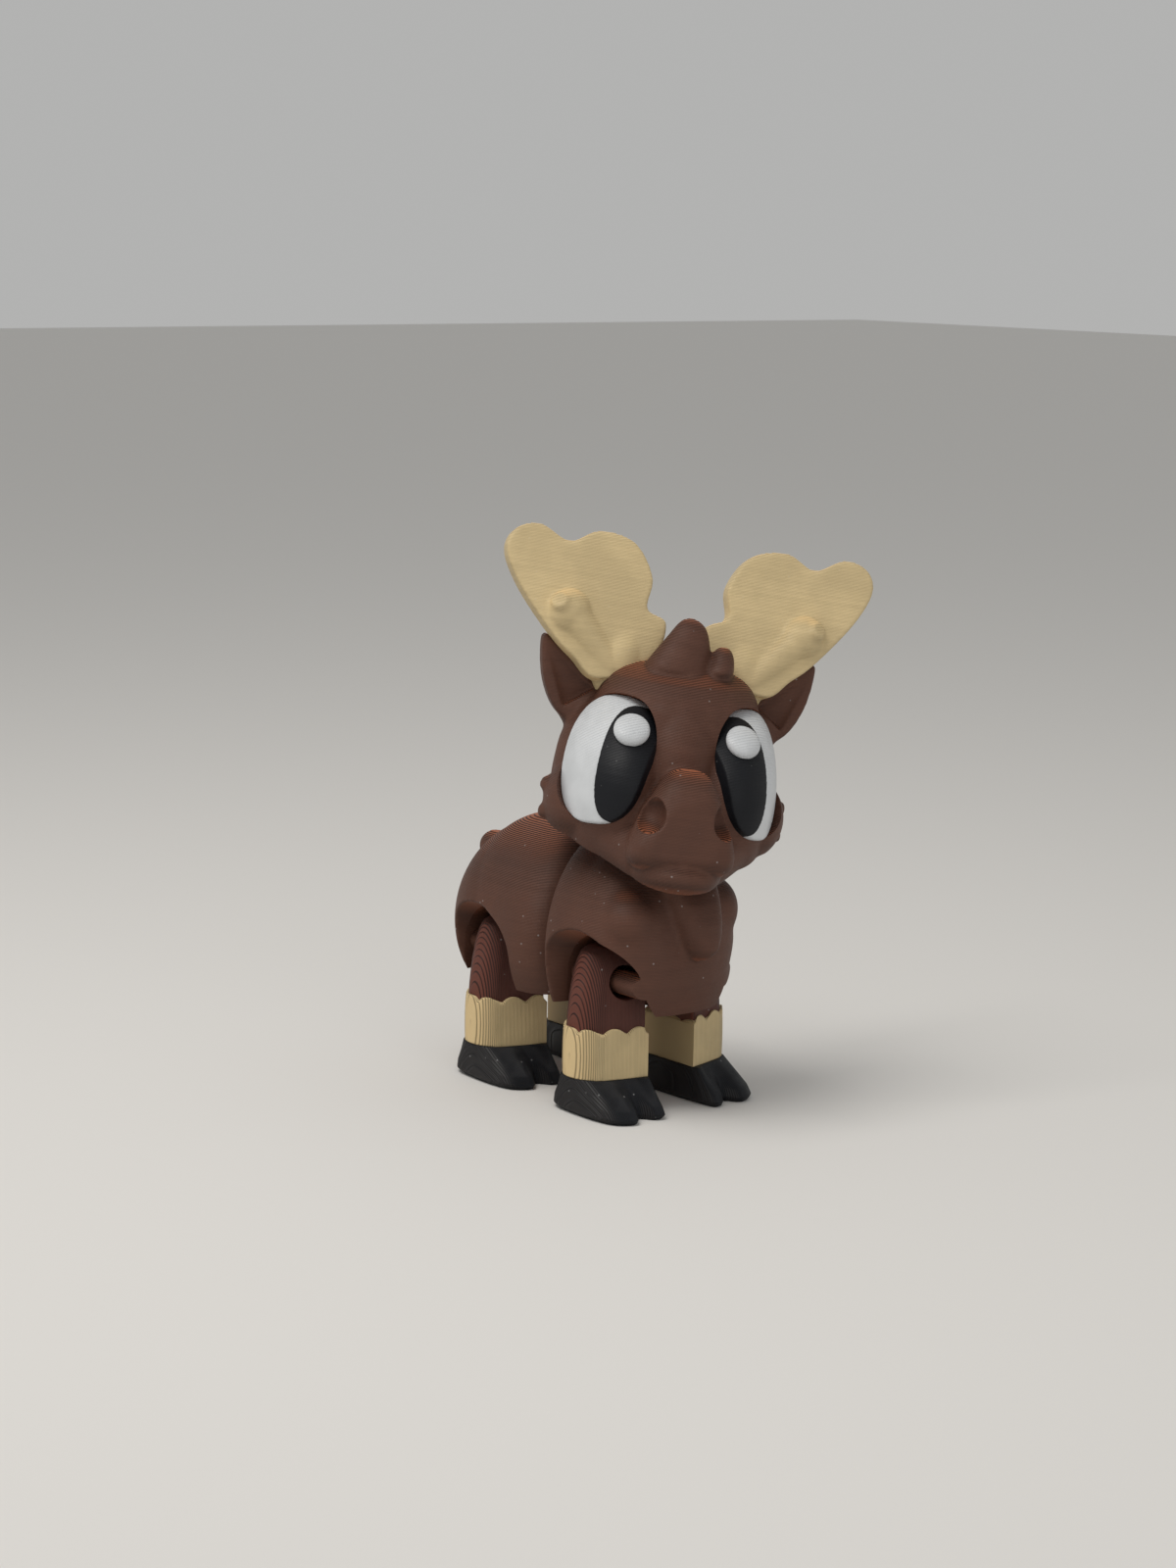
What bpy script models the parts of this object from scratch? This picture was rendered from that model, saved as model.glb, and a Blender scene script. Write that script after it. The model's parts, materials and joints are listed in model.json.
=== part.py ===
"""An articulated toy moose, printed in place: a head that swivels on a leaning neck, a body in two
halves that bends at the spine, and four legs that swing out sideways on pins.

Metres, +Z up. The moose stands on z = 0 and looks along -Y, with its right side at -X, and the origin is
under the middle of its box. Every piece is laid out straight, in millimetres written through mm(), and
hangs on an empty at its joint. The empties then turn to the pose that the moose stands in.
"""

from math import asin, atan, cos, hypot, pi, radians, sin, sqrt

import bmesh
import bpy
from mathutils import Matrix, Vector

MM = 0.001
GAP = 0.3                               # between solids that meet
SIDES = (("right", -1), ("left", 1))
STANCE = Vector((-10.0, -11.06, 0.0)) * MM  # moves the front feet so that the box is centred on the origin

# Pose, in degrees about each joint.
HEAD_TURN = -31.0
SPINE_BEND = -2.0

# Joints, in millimetres, with the front feet at the origin.
NECK_LEAN = 13.5                        # degrees that the neck leans forwards
NECK_PIVOT = (0.0, -4.0, 42.0)
SPINE_PIVOT = (0.0, 13.0, 35.0)
PIN_X = 8.6
PIN_Z = 22.0
LEG_ROWS = {"front": 0.0, "rear": 26.5}  # where each pair of legs is along Y

# Body.
BODY_BOTTOM = 17.0
BODY_HALF_WIDTH = 15.5
BODY_RISE = 20.0
BODY_AXIS_Z = 26.0
SEAM_Y = 8.6
SEAM_RELIEF = 4.5                       # degrees that the rear half's front face falls away to each side
NECK_RADIUS = 3.6
NECK_BALL = 5.2
NECK_BALL_UP = 7.5                      # above the pivot, along the neck
SPINE_BAR = 2.2
SPINE_BALL = 3.6
PLAY = 0.5                              # between a ball and its socket
PIN_RADIUS = 2.0
PIN_HOLE = 2.7
ARCH_ROOF = 29.4
ARCH_INNER_X = 2.6
ARCHES = {                              # front and back of each arch, from the middle of its leg
    "front": {"front": -10.4, "back": 6.0},
    "rear": {"front": -9.6, "back": 7.4},
}

# Legs, in plan: a flat inner face, front and back faces that lean in, and a shallow dome outside.
LEG_INNER_X = 5.2
LEG_OUTER_X = 15.2
LEG_DOME = 1.0
LEG_FRONT = (6.9, 3.4)                  # half lengths at the inner face and at the shoulder of the dome
LEG_BACK = (5.3, 3.2)
LEG_TOP_RADIUS = 5.6
HOOF_TOP = 6.0
CUFF_TOP = 14.6
CUFF_WAVE = 1.3
CUFF_PROUD = 0.4

# Head, from the neck's pivot.
JAW_RISE = 1.6                          # height of the flat underside above the pivot
JAW_SLOPE = 0.34                        # how fast the underside rises towards the back
EYE_BULGE = ((8.5, 10.2, 9.6), (10.4, 20.5, 19.3), 5.0)   # centre, radii, and the radius behind
EYE_CENTRE = (11.9, -2.7, 15.0)
EYE_SPLAY = 36.0
EYE_LEAN = 17.0
EYE_WIDTH = 16.4
EYE_HEIGHT = 21.6
EYE_DEPTH = 3.0
PUPIL_WIDTH = 8.0
PUPIL_HEIGHT = 19.6
PUPIL_IN = 4.1                          # from the eye's middle towards the nose
HIGHLIGHT_RADIUS = 2.7


# ---------------------------------------------------------------- scene helpers


def clear_scene():
    for obj in list(bpy.data.objects):
        bpy.data.objects.remove(obj, do_unlink=True)


def new_collection(name, rendered=True):
    group = bpy.data.collections.new(name)
    group.hide_render = not rendered
    bpy.context.scene.collection.children.link(group)
    return group


def plastic(name, colour, roughness=0.6):
    material = bpy.data.materials.new(name)
    material.use_nodes = True
    shader = material.node_tree.nodes["Principled BSDF"]
    shader.inputs["Base Color"].default_value = (*colour, 1.0)
    shader.inputs["Roughness"].default_value = roughness
    shader.inputs["Metallic"].default_value = 0.0
    return material


def mm(point):
    return Vector(point) * MM


def shift(x=0.0, y=0.0, z=0.0):
    return Matrix.Translation(mm((x, y, z)))


def add_empty(name, pivot, parent=None):
    """An empty at a joint, given from its parent's own pivot; it turns what hangs on it."""
    empty = bpy.data.objects.new(name, None)
    bpy.context.scene.collection.objects.link(empty)
    empty.location = mm(pivot)
    empty.parent = parent
    return empty


def add_object(name, bm, group, parent, material=None):
    """Turns a bmesh into an object that hangs on an empty; without a material it is a cutter."""
    mesh = bpy.data.meshes.new(name)
    bmesh.ops.recalc_face_normals(bm, faces=bm.faces)
    bm.to_mesh(mesh)
    bm.free()
    mesh.shade_smooth()
    mesh.set_sharp_from_angle(angle=radians(35))
    obj = bpy.data.objects.new(name, mesh)
    group.objects.link(obj)
    obj.parent = parent
    if material:
        mesh.materials.append(material)
    else:
        obj.hide_render = True
        obj.display_type = "WIRE"
    return obj


def boolean(obj, cutter, operation="DIFFERENCE"):
    cut = obj.modifiers.new(cutter.name, "BOOLEAN")
    cut.operation = operation
    cut.object = cutter
    cut.solver = "EXACT"


def fuse(obj, voxel, smoothing, faces):
    """Makes one skin of overlapping shells, rounds where they meet, and thins it to about so many triangles."""
    remesh = obj.modifiers.new("fuse", "REMESH")
    remesh.mode = "VOXEL"
    remesh.voxel_size = voxel * MM
    remesh.use_smooth_shade = True
    soften = obj.modifiers.new("soften", "SMOOTH")
    soften.factor = 0.5
    soften.iterations = smoothing
    evaluated = obj.evaluated_get(bpy.context.evaluated_depsgraph_get())
    count = sum(len(polygon.vertices) - 2 for polygon in evaluated.data.polygons)
    thin = obj.modifiers.new("thin", "DECIMATE")
    thin.ratio = min(1.0, faces / count)
    return obj


# ---------------------------------------------------------------- shapes


def add_ball(bm, centre, radii, back=None, segments=28, grow=0.0, blunt=2.0):
    """An ellipsoid. back is its radius towards +Y where that differs from its radius towards -Y, and a blunt
    over 2 makes its ends along Y flatter."""
    made = bmesh.ops.create_uvsphere(bm, u_segments=segments, v_segments=segments // 2, radius=1.0)
    for vert in made["verts"]:
        x, y, z = vert.co
        x, y, z = Vector((x, y, z)) * (hypot(x, z) ** blunt + abs(y) ** blunt) ** (-1 / blunt)
        deep = back if back and y > 0 else radii[1]
        vert.co = mm(centre) + mm((x * (radii[0] + grow), y * (deep + grow), z * (radii[2] + grow)))


def add_bar(bm, start, end, start_radius, end_radius, flatten=1.0, segments=20):
    """A round bar from start to end that may taper, and may be squeezed along Y."""
    a, b = mm(start), mm(end)
    turn = (b - a).to_track_quat("Z", "Y").to_matrix().to_4x4()
    squeeze = Matrix.Diagonal((1.0, flatten, 1.0, 1.0))
    bmesh.ops.create_cone(
        bm, cap_ends=True, segments=segments, radius1=start_radius * MM, radius2=end_radius * MM,
        depth=(b - a).length, matrix=Matrix.Translation((a + b) / 2) @ squeeze @ turn)


def add_slab(bm, outline, thickness, place):
    """A plate: an outline of (x, z) points thickened along Y about the middle, then placed."""
    corners = [bm.verts.new(place @ mm((x, -thickness / 2, z))) for x, z in outline]
    grown = bmesh.ops.extrude_face_region(bm, geom=[bm.faces.new(corners)])
    moved = [item for item in grown["geom"] if isinstance(item, bmesh.types.BMVert)]
    bmesh.ops.translate(bm, verts=moved, vec=place.to_3x3() @ mm((0.0, thickness, 0.0)))


def add_loft(bm, rings):
    """A closed solid through rings of points, with a fan from the middle of each end."""
    loops = [[bm.verts.new(mm(point)) for point in ring] for ring in rings]
    for low, high in zip(loops, loops[1:]):
        for i in range(len(low)):
            j = (i + 1) % len(low)
            bm.faces.new((low[i], low[j], high[j], high[i]))
    for loop in (loops[0], loops[-1]):
        heights = [vert.co.z for vert in loop]
        middle = sum((vert.co for vert in loop), Vector()) / len(loop)
        middle.z = (min(heights) + max(heights)) / 2
        hub = bm.verts.new(middle)
        for i in range(len(loop)):
            bm.faces.new((loop[i], loop[(i + 1) % len(loop)], hub))


def add_block(bm, low, high):
    """A box between two corners."""
    size = mm(high) - mm(low)
    place = Matrix.Translation((mm(high) + mm(low)) / 2) @ Matrix.Diagonal((*size, 1.0))
    bmesh.ops.create_cube(bm, size=1.0, matrix=place)


def smooth_loop(points, steps=3):
    """A closed smooth curve through the points."""
    curve = []
    count = len(points)
    for i in range(count):
        p0, p1, p2, p3 = (Vector(points[(i + k - 1) % count]) for k in range(4))
        for step in range(steps):
            t = step / steps
            spot = 2 * p1 + (p2 - p0) * t + (2 * p0 - 5 * p1 + 4 * p2 - p3) * t ** 2
            spot += (3 * p1 - p0 - 3 * p2 + p3) * t ** 3
            curve.append(tuple(spot / 2))
    return curve


def mirror_x(bm, side):
    """Shapes are drawn on the left, at +X; the right side is their mirror image."""
    if side < 0:
        bmesh.ops.scale(bm, vec=(-1.0, 1.0, 1.0), verts=bm.verts)


# ---------------------------------------------------------------- body


def arch_profile(front, back, roof):
    """An arch seen from the side, as (y, z): upright walls and a round roof."""
    middle, half = (front + back) / 2, (back - front) / 2
    spring = roof - half * 0.8
    arc = [(middle + half * cos(pi * k / 10), spring + half * 0.8 * sin(pi * k / 10)) for k in range(11)]
    return [(back + 0.4, BODY_BOTTOM - 4.0)] + arc + [(front - 0.4, BODY_BOTTOM - 4.0)]


def arch_cutter(name, group, parent, side, row):
    """The room that a leg swings in, lofted outwards from a narrow inner profile to a flared outer one. The
    pin is taken out of the cutter, so that it stays in the body and ends flush with its skin."""
    arch, y = ARCHES[row], LEG_ROWS[row]
    inner = arch_profile(arch["front"] + y, arch["back"] + y, ARCH_ROOF)
    outer = arch_profile(arch["front"] + y - 0.6, arch["back"] + y + 0.6, ARCH_ROOF + 1.2)
    bm = bmesh.new()
    loops = []
    for x, profile in ((ARCH_INNER_X, inner), (PIN_X, inner), (BODY_HALF_WIDTH + 3.0, outer)):
        loops.append([bm.verts.new(mm((x, y, z))) for y, z in profile])
    for low, high in zip(loops, loops[1:]):
        for i in range(len(low)):
            j = (i + 1) % len(low)
            bm.faces.new((low[i], low[j], high[j], high[i]))
    bm.faces.new(loops[0])
    bm.faces.new(loops[-1])
    mirror_x(bm, side)
    room = add_object(name, bm, group, parent)
    bm = bmesh.new()
    start, end = ((side * PIN_X, y + offset, PIN_Z) for offset in (arch["front"] - 6.0, arch["back"] + 1.0))
    add_bar(bm, start, end, PIN_RADIUS, PIN_RADIUS, segments=16)
    boolean(room, add_object("pin_in_" + name, bm, group, parent))
    return room


def joint_ball(start, ball, bar_radius, ball_radius, segments=18):
    """A ball on a bar, as one turned shape; the same shape with play added is its socket."""
    a, b = Vector(start), Vector(ball)
    reach = (b - a).length
    first = asin(bar_radius / ball_radius)
    profile = [(0.0, bar_radius)]
    for k in range(8):
        angle = first + (radians(172) - first) * k / 7
        profile.append((reach - ball_radius * cos(angle), ball_radius * sin(angle)))
    rings = []
    for along, radius in profile:
        rings.append([
            (radius * cos(2 * pi * k / segments), radius * sin(2 * pi * k / segments), along) for k in range(segments)])
    bm = bmesh.new()
    add_loft(bm, rings)
    turn = (b - a).to_track_quat("Z", "Y").to_matrix().to_4x4()
    bmesh.ops.transform(bm, matrix=shift(*start) @ turn, verts=bm.verts)
    return bm


def neck_point(up):
    lean = radians(NECK_LEAN)
    return tuple(a + up * b for a, b in zip(NECK_PIVOT, (0.0, -sin(lean), cos(lean))))


def neck_parts(play):
    return joint_ball(neck_point(-9.0), neck_point(NECK_BALL_UP), NECK_RADIUS + play, NECK_BALL + play)


def spine_parts(play):
    start = (0.0, SEAM_Y - 4.0, SPINE_PIVOT[2])
    return joint_ball(start, SPINE_PIVOT, SPINE_BAR + play * 1.6, SPINE_BALL + play, 14)


def add_stack(bm, ovals, middle_y, count=20):
    """A closed solid through level ovals, each (height, left, right, half depth)."""
    rings = []
    for z, left, right, deep in ovals:
        middle, half = (left + right) / 2, (right - left) / 2
        turns = [2 * pi * k / count for k in range(count)]
        rings.append([(middle + half * cos(t), middle_y + deep * sin(t), z) for t in turns])
    add_loft(bm, rings)


def add_bell(bm):
    """The flap of skin under the chin: a keel that widens upwards."""
    reach = (
        (26.2, 0.8, 6.1), (26.8, 2.0, 7.5), (28.2, 3.1, 8.5), (30.2, 3.8, 8.7), (32.6, 4.4, 8.3),
        (35.5, 4.9, 7.2), (39.0, 5.2, 5.3), (43.0, 5.2, 2.5))
    add_stack(bm, [(z, -half, half, deep) for z, half, deep in reach], -8.5)


def front_body(group, cutters, parent, material):
    bm = bmesh.new()
    wide = (BODY_HALF_WIDTH, 12.3, BODY_RISE)
    add_ball(bm, (0.0, -0.8, BODY_AXIS_Z), wide, segments=40)
    add_ball(bm, (0.0, 9.0, BODY_AXIS_Z), wide, segments=40)
    add_bell(bm)
    for _, side in SIDES:
        add_ball(bm, (side * 8.2, -6.0, 32.4), (5.5, 5.1, 5.8))      # ruff beside it
    body = fuse(add_object("front_body", bm, group, parent, material), 0.8, 4, 1100)
    trims = bmesh.new()
    add_block(trims, (-40, -40, -20), (40, 60, BODY_BOTTOM))
    boolean(body, add_object("front_body_underside", trims, cutters, parent))
    trims = bmesh.new()
    add_block(trims, (-40, SEAM_Y - GAP, -20), (40, 60, 80))
    boolean(body, add_object("front_body_seam", trims, cutters, parent))
    trims = bmesh.new()
    add_block(trims, (-40, -40, 0), (40, 60, 40))
    lean = shift(*NECK_PIVOT) @ Matrix.Rotation(radians(NECK_LEAN), 4, "X")
    bmesh.ops.transform(trims, matrix=lean, verts=trims.verts)
    boolean(body, add_object("front_body_collar", trims, cutters, parent))
    for name, side in SIDES:
        boolean(body, arch_cutter("front_arch_" + name, cutters, parent, side, "front"))
    for name, bm in (("neck_ball", neck_parts(0)), ("spine_ball", spine_parts(0))):
        boolean(body, add_object(name, bm, cutters, parent), "UNION")
    return body


def rear_body(group, cutters, parent, material):
    bm = bmesh.new()
    wide = (BODY_HALF_WIDTH, 12.0, BODY_RISE)
    add_ball(bm, (0.0, 9.0, BODY_AXIS_Z), wide, segments=40, blunt=2.4)
    add_ball(bm, (0.0, 18.0, BODY_AXIS_Z), wide, segments=40, blunt=2.4)
    add_ball(bm, (0.0, 26.8, BODY_AXIS_Z), (BODY_HALF_WIDTH, 12.3, BODY_RISE - 1.0), segments=40, blunt=2.2)
    add_bar(bm, (0.0, 33.0, 35.4), (0.0, 41.4, 36.2), 3.2, 2.8)      # tail
    add_ball(bm, (0.0, 41.4, 36.2), (2.8, 2.8, 2.8))
    body = fuse(add_object("rear_body", bm, group, parent, material), 0.8, 4, 1000)
    trims = bmesh.new()
    add_block(trims, (-40, -40, -20), (40, 60, BODY_BOTTOM))
    boolean(body, add_object("rear_body_underside", trims, cutters, parent))
    for name, side in SIDES:
        trims = bmesh.new()
        add_block(trims, (-60, -60, -20), (60, 0, 80))
        turn = shift(0.0, SEAM_Y + GAP, 0.0) @ Matrix.Rotation(radians(side * SEAM_RELIEF), 4, "Z")
        bmesh.ops.transform(trims, matrix=turn, verts=trims.verts)
        boolean(body, add_object("rear_body_seam_" + name, trims, cutters, parent))
        boolean(body, arch_cutter("rear_arch_" + name, cutters, parent, side, "rear"))
    boolean(body, add_object("spine_socket", spine_parts(PLAY), cutters, parent))
    return body


# ---------------------------------------------------------------- legs


def leg_plan(grow=0.0, squeeze=1.0, inner=LEG_INNER_X, outer=LEG_OUTER_X):
    """Corners of a leg in plan, from the inner back corner round the back, the dome and the front."""
    shoulder = outer - LEG_DOME
    front_in, front_out = (half * squeeze + grow for half in LEG_FRONT)
    back_in, back_out = (half * squeeze + grow for half in LEG_BACK)
    return [
        (inner - grow, back_in), (shoulder + grow, back_out), (outer + grow, 0.0),
        (shoulder + grow, -front_out), (inner - grow, -front_in)]


def leg_ring(plan, height, per_side):
    """The plan's outline as a ring of (x, y, z), with per_side steps along each side but the inner one."""
    ring = []
    for (x0, y0), (x1, y1), steps in zip(plan, plan[1:], per_side):
        for k in range(steps):
            t = k / steps
            ring.append((x0 + (x1 - x0) * t, y0 + (y1 - y0) * t))
    ring.append(plan[-1])
    return [(x, y, height(i, len(ring))) for i, (x, y) in enumerate(ring)]


WAVE_STEPS = (4, 2, 2, 4)


def cuff_edge(base):
    """Height of the cuff's scalloped top edge, point by point round the leg."""
    return lambda i, count: base - (CUFF_WAVE if i % 2 == 0 else 0.0)


def upper_leg(name, group, cutters, parent, side, y, material):
    rings = [leg_ring(leg_plan(), cuff_edge(CUFF_TOP + GAP), WAVE_STEPS)]
    rings.append(leg_ring(leg_plan(), lambda i, n: 17.0, WAVE_STEPS))
    rings.append(leg_ring(leg_plan(squeeze=0.96), lambda i, n: PIN_Z - 1.0, WAVE_STEPS))
    for up in (1.6, 3.6, 4.9, 5.4):
        reach = sqrt(LEG_TOP_RADIUS ** 2 - up ** 2)
        squeeze = 0.94 * sqrt(1 - (up / 6.2) ** 2)
        plan = leg_plan(
            squeeze=squeeze, inner=max(LEG_INNER_X, PIN_X - reach), outer=min(LEG_OUTER_X, PIN_X + reach + 0.4))
        rings.append(leg_ring(plan, lambda i, n, z=PIN_Z + up: z, WAVE_STEPS))
    bm = bmesh.new()
    add_loft(bm, [[(x, y_ + y, z) for x, y_, z in ring] for ring in rings])
    mirror_x(bm, side)
    leg = add_object("upper_leg_" + name, bm, group, parent, material)
    hole = bmesh.new()
    add_bar(hole, (side * PIN_X, y - 10.0, PIN_Z), (side * PIN_X, y + 10.0, PIN_Z), PIN_HOLE, PIN_HOLE, segments=18)
    boolean(leg, add_object("pin_hole_" + name, hole, cutters, parent))
    return leg


def cuff(name, group, parent, side, y, material):
    plan = leg_plan(grow=CUFF_PROUD)
    rings = [
        leg_ring(plan, lambda i, n: HOOF_TOP + GAP, WAVE_STEPS),
        leg_ring(plan, lambda i, n: 10.0, WAVE_STEPS),
        leg_ring(plan, cuff_edge(CUFF_TOP), WAVE_STEPS)]
    bm = bmesh.new()
    add_loft(bm, [[(x, y_ + y, z) for x, y_, z in ring] for ring in rings])
    mirror_x(bm, side)
    return add_object("cuff_" + name, bm, group, parent, material)


def hoof_ring(height, toe, heel, spread):
    """One slice of a cloven hoof; toe is how far the tips reach forwards."""
    inner, outer = LEG_INNER_X - 0.3 - spread * 0.3, LEG_OUTER_X + 0.3 + spread * 0.5
    cleft = toe - 0.3 - 1.7 * spread
    return [(x, y, height) for x, y in (
        (inner, heel), (outer - 1.0, heel - 2.2), (outer, 0.0), (outer - 0.4, -toe * 0.62),
        (outer - 2.2, -toe), (10.4, -cleft), (7.0, -toe - 0.3), (inner, -toe * 0.8))]


def hoof(name, group, parent, side, y, material):
    rings = [
        hoof_ring(0.0, 11.3, 6.0, 0.7), hoof_ring(0.7, 12.2, 7.0, 1.0), hoof_ring(2.0, 11.8, 7.2, 1.0),
        hoof_ring(4.0, 9.1, 6.6, 0.7), hoof_ring(HOOF_TOP, 6.2, 5.8, 0.2)]
    bm = bmesh.new()
    add_loft(bm, [[(x, y_ + y, z) for x, y_, z in ring] for ring in rings])
    mirror_x(bm, side)
    return add_object("hoof_" + name, bm, group, parent, material)


# ---------------------------------------------------------------- head


def add_ear(bm, side):
    """A leaf that points outwards and up."""
    leaf = [
        (12.5, 18.6), (16.6, 19.2), (19.8, 21.4), (21.9, 25.2), (22.9, 29.4), (23.0, 33.4),
        (20.6, 32.2), (17.2, 30.0), (13.6, 27.8)]
    add_slab(bm, [(side * x, z) for x, z in smooth_loop(leaf)], 3.6, shift(y=8.4))


def add_tuft(bm):
    """Two leaves of hair on top of the head, one big and one small."""
    add_stack(bm, [
        (26.0, -3.0, 2.0, 2.0), (29.8, -5.6, 3.0, 3.0), (30.4, -6.9, 3.4, 4.0), (33.0, -5.8, 3.4, 3.4),
        (35.0, -4.5, 3.3, 2.9), (36.5, -3.5, 2.9, 2.5), (37.8, -2.7, 2.3, 2.0), (38.6, -2.0, 1.4, 1.4),
        (39.1, -1.4, 0.6, 0.7)], 0.5)
    add_stack(bm, [
        (26.0, 2.4, 5.6, 1.8), (30.2, 2.6, 6.8, 2.8), (30.9, 2.6, 7.8, 3.6), (33.2, 3.7, 7.6, 2.6),
        (34.3, 4.2, 7.2, 1.9), (35.1, 4.9, 6.5, 0.9)], 0.5)


def add_muzzle(bm):
    """A muzzle that is narrow on top, widest at the lips and fullest near its front, and a chin."""
    outline = [
        (0.0, 16.0), (2.5, 15.6), (4.2, 13.8), (5.4, 11.6), (6.9, 9.0), (8.0, 5.8), (8.8, 2.8), (8.6, 0.9),
        (7.0, -0.6), (3.2, -1.0), (0.0, -1.0)]
    rings = []
    for y, width, rise in (
            (3.0, 0.50, 0.84), (-3.0, 0.64, 0.86), (-6.0, 0.76, 0.88), (-9.0, 0.90, 0.93), (-11.5, 0.98, 0.99),
            (-13.4, 1.0, 1.0), (-15.2, 0.96, 0.94), (-16.6, 0.85, 0.80), (-17.5, 0.62, 0.56)):
        half = [(x * width, 5.0 + (z - 5.0) * rise) for x, z in outline]
        rings.append([(x, y, z) for x, z in half + [(-x, z) for x, z in half[-2:0:-1]]])
    add_loft(bm, rings)
    add_ball(bm, (0.0, -10.3, -1.1), (7.5, 7.9, 3.8))


def add_crown(bm):
    """The broad, nearly level top of the head."""
    add_stack(bm, [(z, -half, half, deep) for z, half, deep in (
        (14.0, 14.0, 11.5), (20.0, 14.2, 11.4), (24.0, 13.9, 10.9), (26.6, 13.1, 10.0), (28.5, 11.9, 8.8),
        (29.9, 10.2, 7.2), (30.9, 7.8, 5.4), (31.5, 5.0, 3.4), (31.8, 2.2, 1.6))], 4.0, 32)


def head_form(name, group, parent, material=None):
    """The head before anything is cut out of it."""
    bm = bmesh.new()
    add_ball(bm, (0.0, 7.0, 13.5), (18.6, 13.0, 16.8), back=12.0, segments=40)    # skull
    add_ball(bm, (0.0, 3.2, 14.2), (9.0, 12.5, 17.4))                 # brow
    add_crown(bm)
    add_muzzle(bm)
    centre, radii, back = EYE_BULGE
    for _, side in SIDES:
        around_eye = (side * centre[0], centre[1], centre[2])
        add_ball(bm, around_eye, tuple(r - 0.5 for r in radii), back=back, segments=36)
        add_ball(bm, (side * 14.2, 8.5, 22.5), (5.0, 3.2, 5.0))       # ear root
        add_bar(bm, (side * 13.4, 4.4, 6.2), (side * 3.4, -9.4, 0.8), 6.0, 5.4)    # jaw
        add_ball(bm, (side * 13.2, 4.0, 7.2), (7.0, 8.3, 7.4))        # cheek
        add_bar(bm, (side * 15.0, 6.0, 8.6), (side * 20.7, 5.2, 9.2), 4.0, 0.9)
        add_bar(bm, (side * 15.0, 6.0, 5.0), (side * 20.6, 5.2, 4.4), 3.4, 0.9)
        add_ear(bm, side)
    add_tuft(bm)
    return fuse(add_object(name, bm, group, parent, material), 0.7, 3, 2100)


def head(group, cutters, parent, material):
    skin = head_form("head", group, parent, material)
    under = bmesh.new()
    add_block(under, (-40, -40, -40), (40, 40, 0))
    lean = shift(z=JAW_RISE) @ Matrix.Rotation(atan(JAW_SLOPE), 4, "X")
    bmesh.ops.transform(under, matrix=lean, verts=under.verts)
    boolean(skin, add_object("head_underside", under, cutters, parent))
    for name, side in SIDES:
        nostril = bmesh.new()
        add_ball(nostril, (side * 6.2, -15.8, 8.5), (2.4, 3.3, 2.9), segments=16)
        boolean(skin, add_object("nostril_" + name, nostril, cutters, parent))
        dish = bmesh.new()
        add_bar(dish, (side * 16.4, 5.6, 23.6), (side * 22.2, 6.2, 31.4), 3.2, 0.8, flatten=0.6, segments=14)
        boolean(skin, add_object("ear_dish_" + name, dish, cutters, parent))
        boolean(skin, eye_prism("eye_socket_" + name, cutters, parent, side, EYE_WIDTH, EYE_HEIGHT, 0.0, GAP))
    socket = neck_parts(PLAY)
    bmesh.ops.translate(socket, vec=-mm(NECK_PIVOT), verts=socket.verts)
    boolean(skin, add_object("neck_socket", socket, cutters, parent))
    return skin


def eye_place(side):
    """The eye's own frame: Y runs into the head, X towards the ear, Z up."""
    x, y, z = EYE_CENTRE
    splay = Matrix.Rotation(radians(EYE_SPLAY) * side, 4, "Z")
    lean = Matrix.Rotation(radians(-EYE_LEAN), 4, "X")
    return shift(side * x, y, z) @ splay @ lean


def oval(width, height, count=28, power=2.3):
    """A tall oval, a little squarer than an ellipse."""
    points = []
    for k in range(count):
        c, s = cos(2 * pi * k / count), sin(2 * pi * k / count)
        stretch = (abs(c) ** power + abs(s) ** power) ** (-1 / power)
        points.append((width / 2 * c * stretch, height / 2 * s * stretch))
    return points


def eye_prism(name, group, parent, side, width, height, sideways, grow, up=0.0, back=EYE_DEPTH):
    """A bar with an oval section that runs from back inside the head out past the eye's surface."""
    bm = bmesh.new()
    outline = [(x + sideways * side, z + up) for x, z in oval(width + 2 * grow, height + 2 * grow)]
    front = 14.0
    reach = back + grow
    add_slab(bm, outline, front + reach, eye_place(side) @ shift(y=(reach - front) / 2))
    return add_object(name, bm, group, parent)


def eye_shell(name, group, parent, side, material, grow):
    """The eyeball that the plates of one eye are cut from."""
    centre, radii, back = EYE_BULGE
    bm = bmesh.new()
    add_ball(bm, (side * centre[0], centre[1], centre[2]), radii, back=back, segments=36, grow=grow)
    return add_object(name, bm, group, parent, material)


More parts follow.
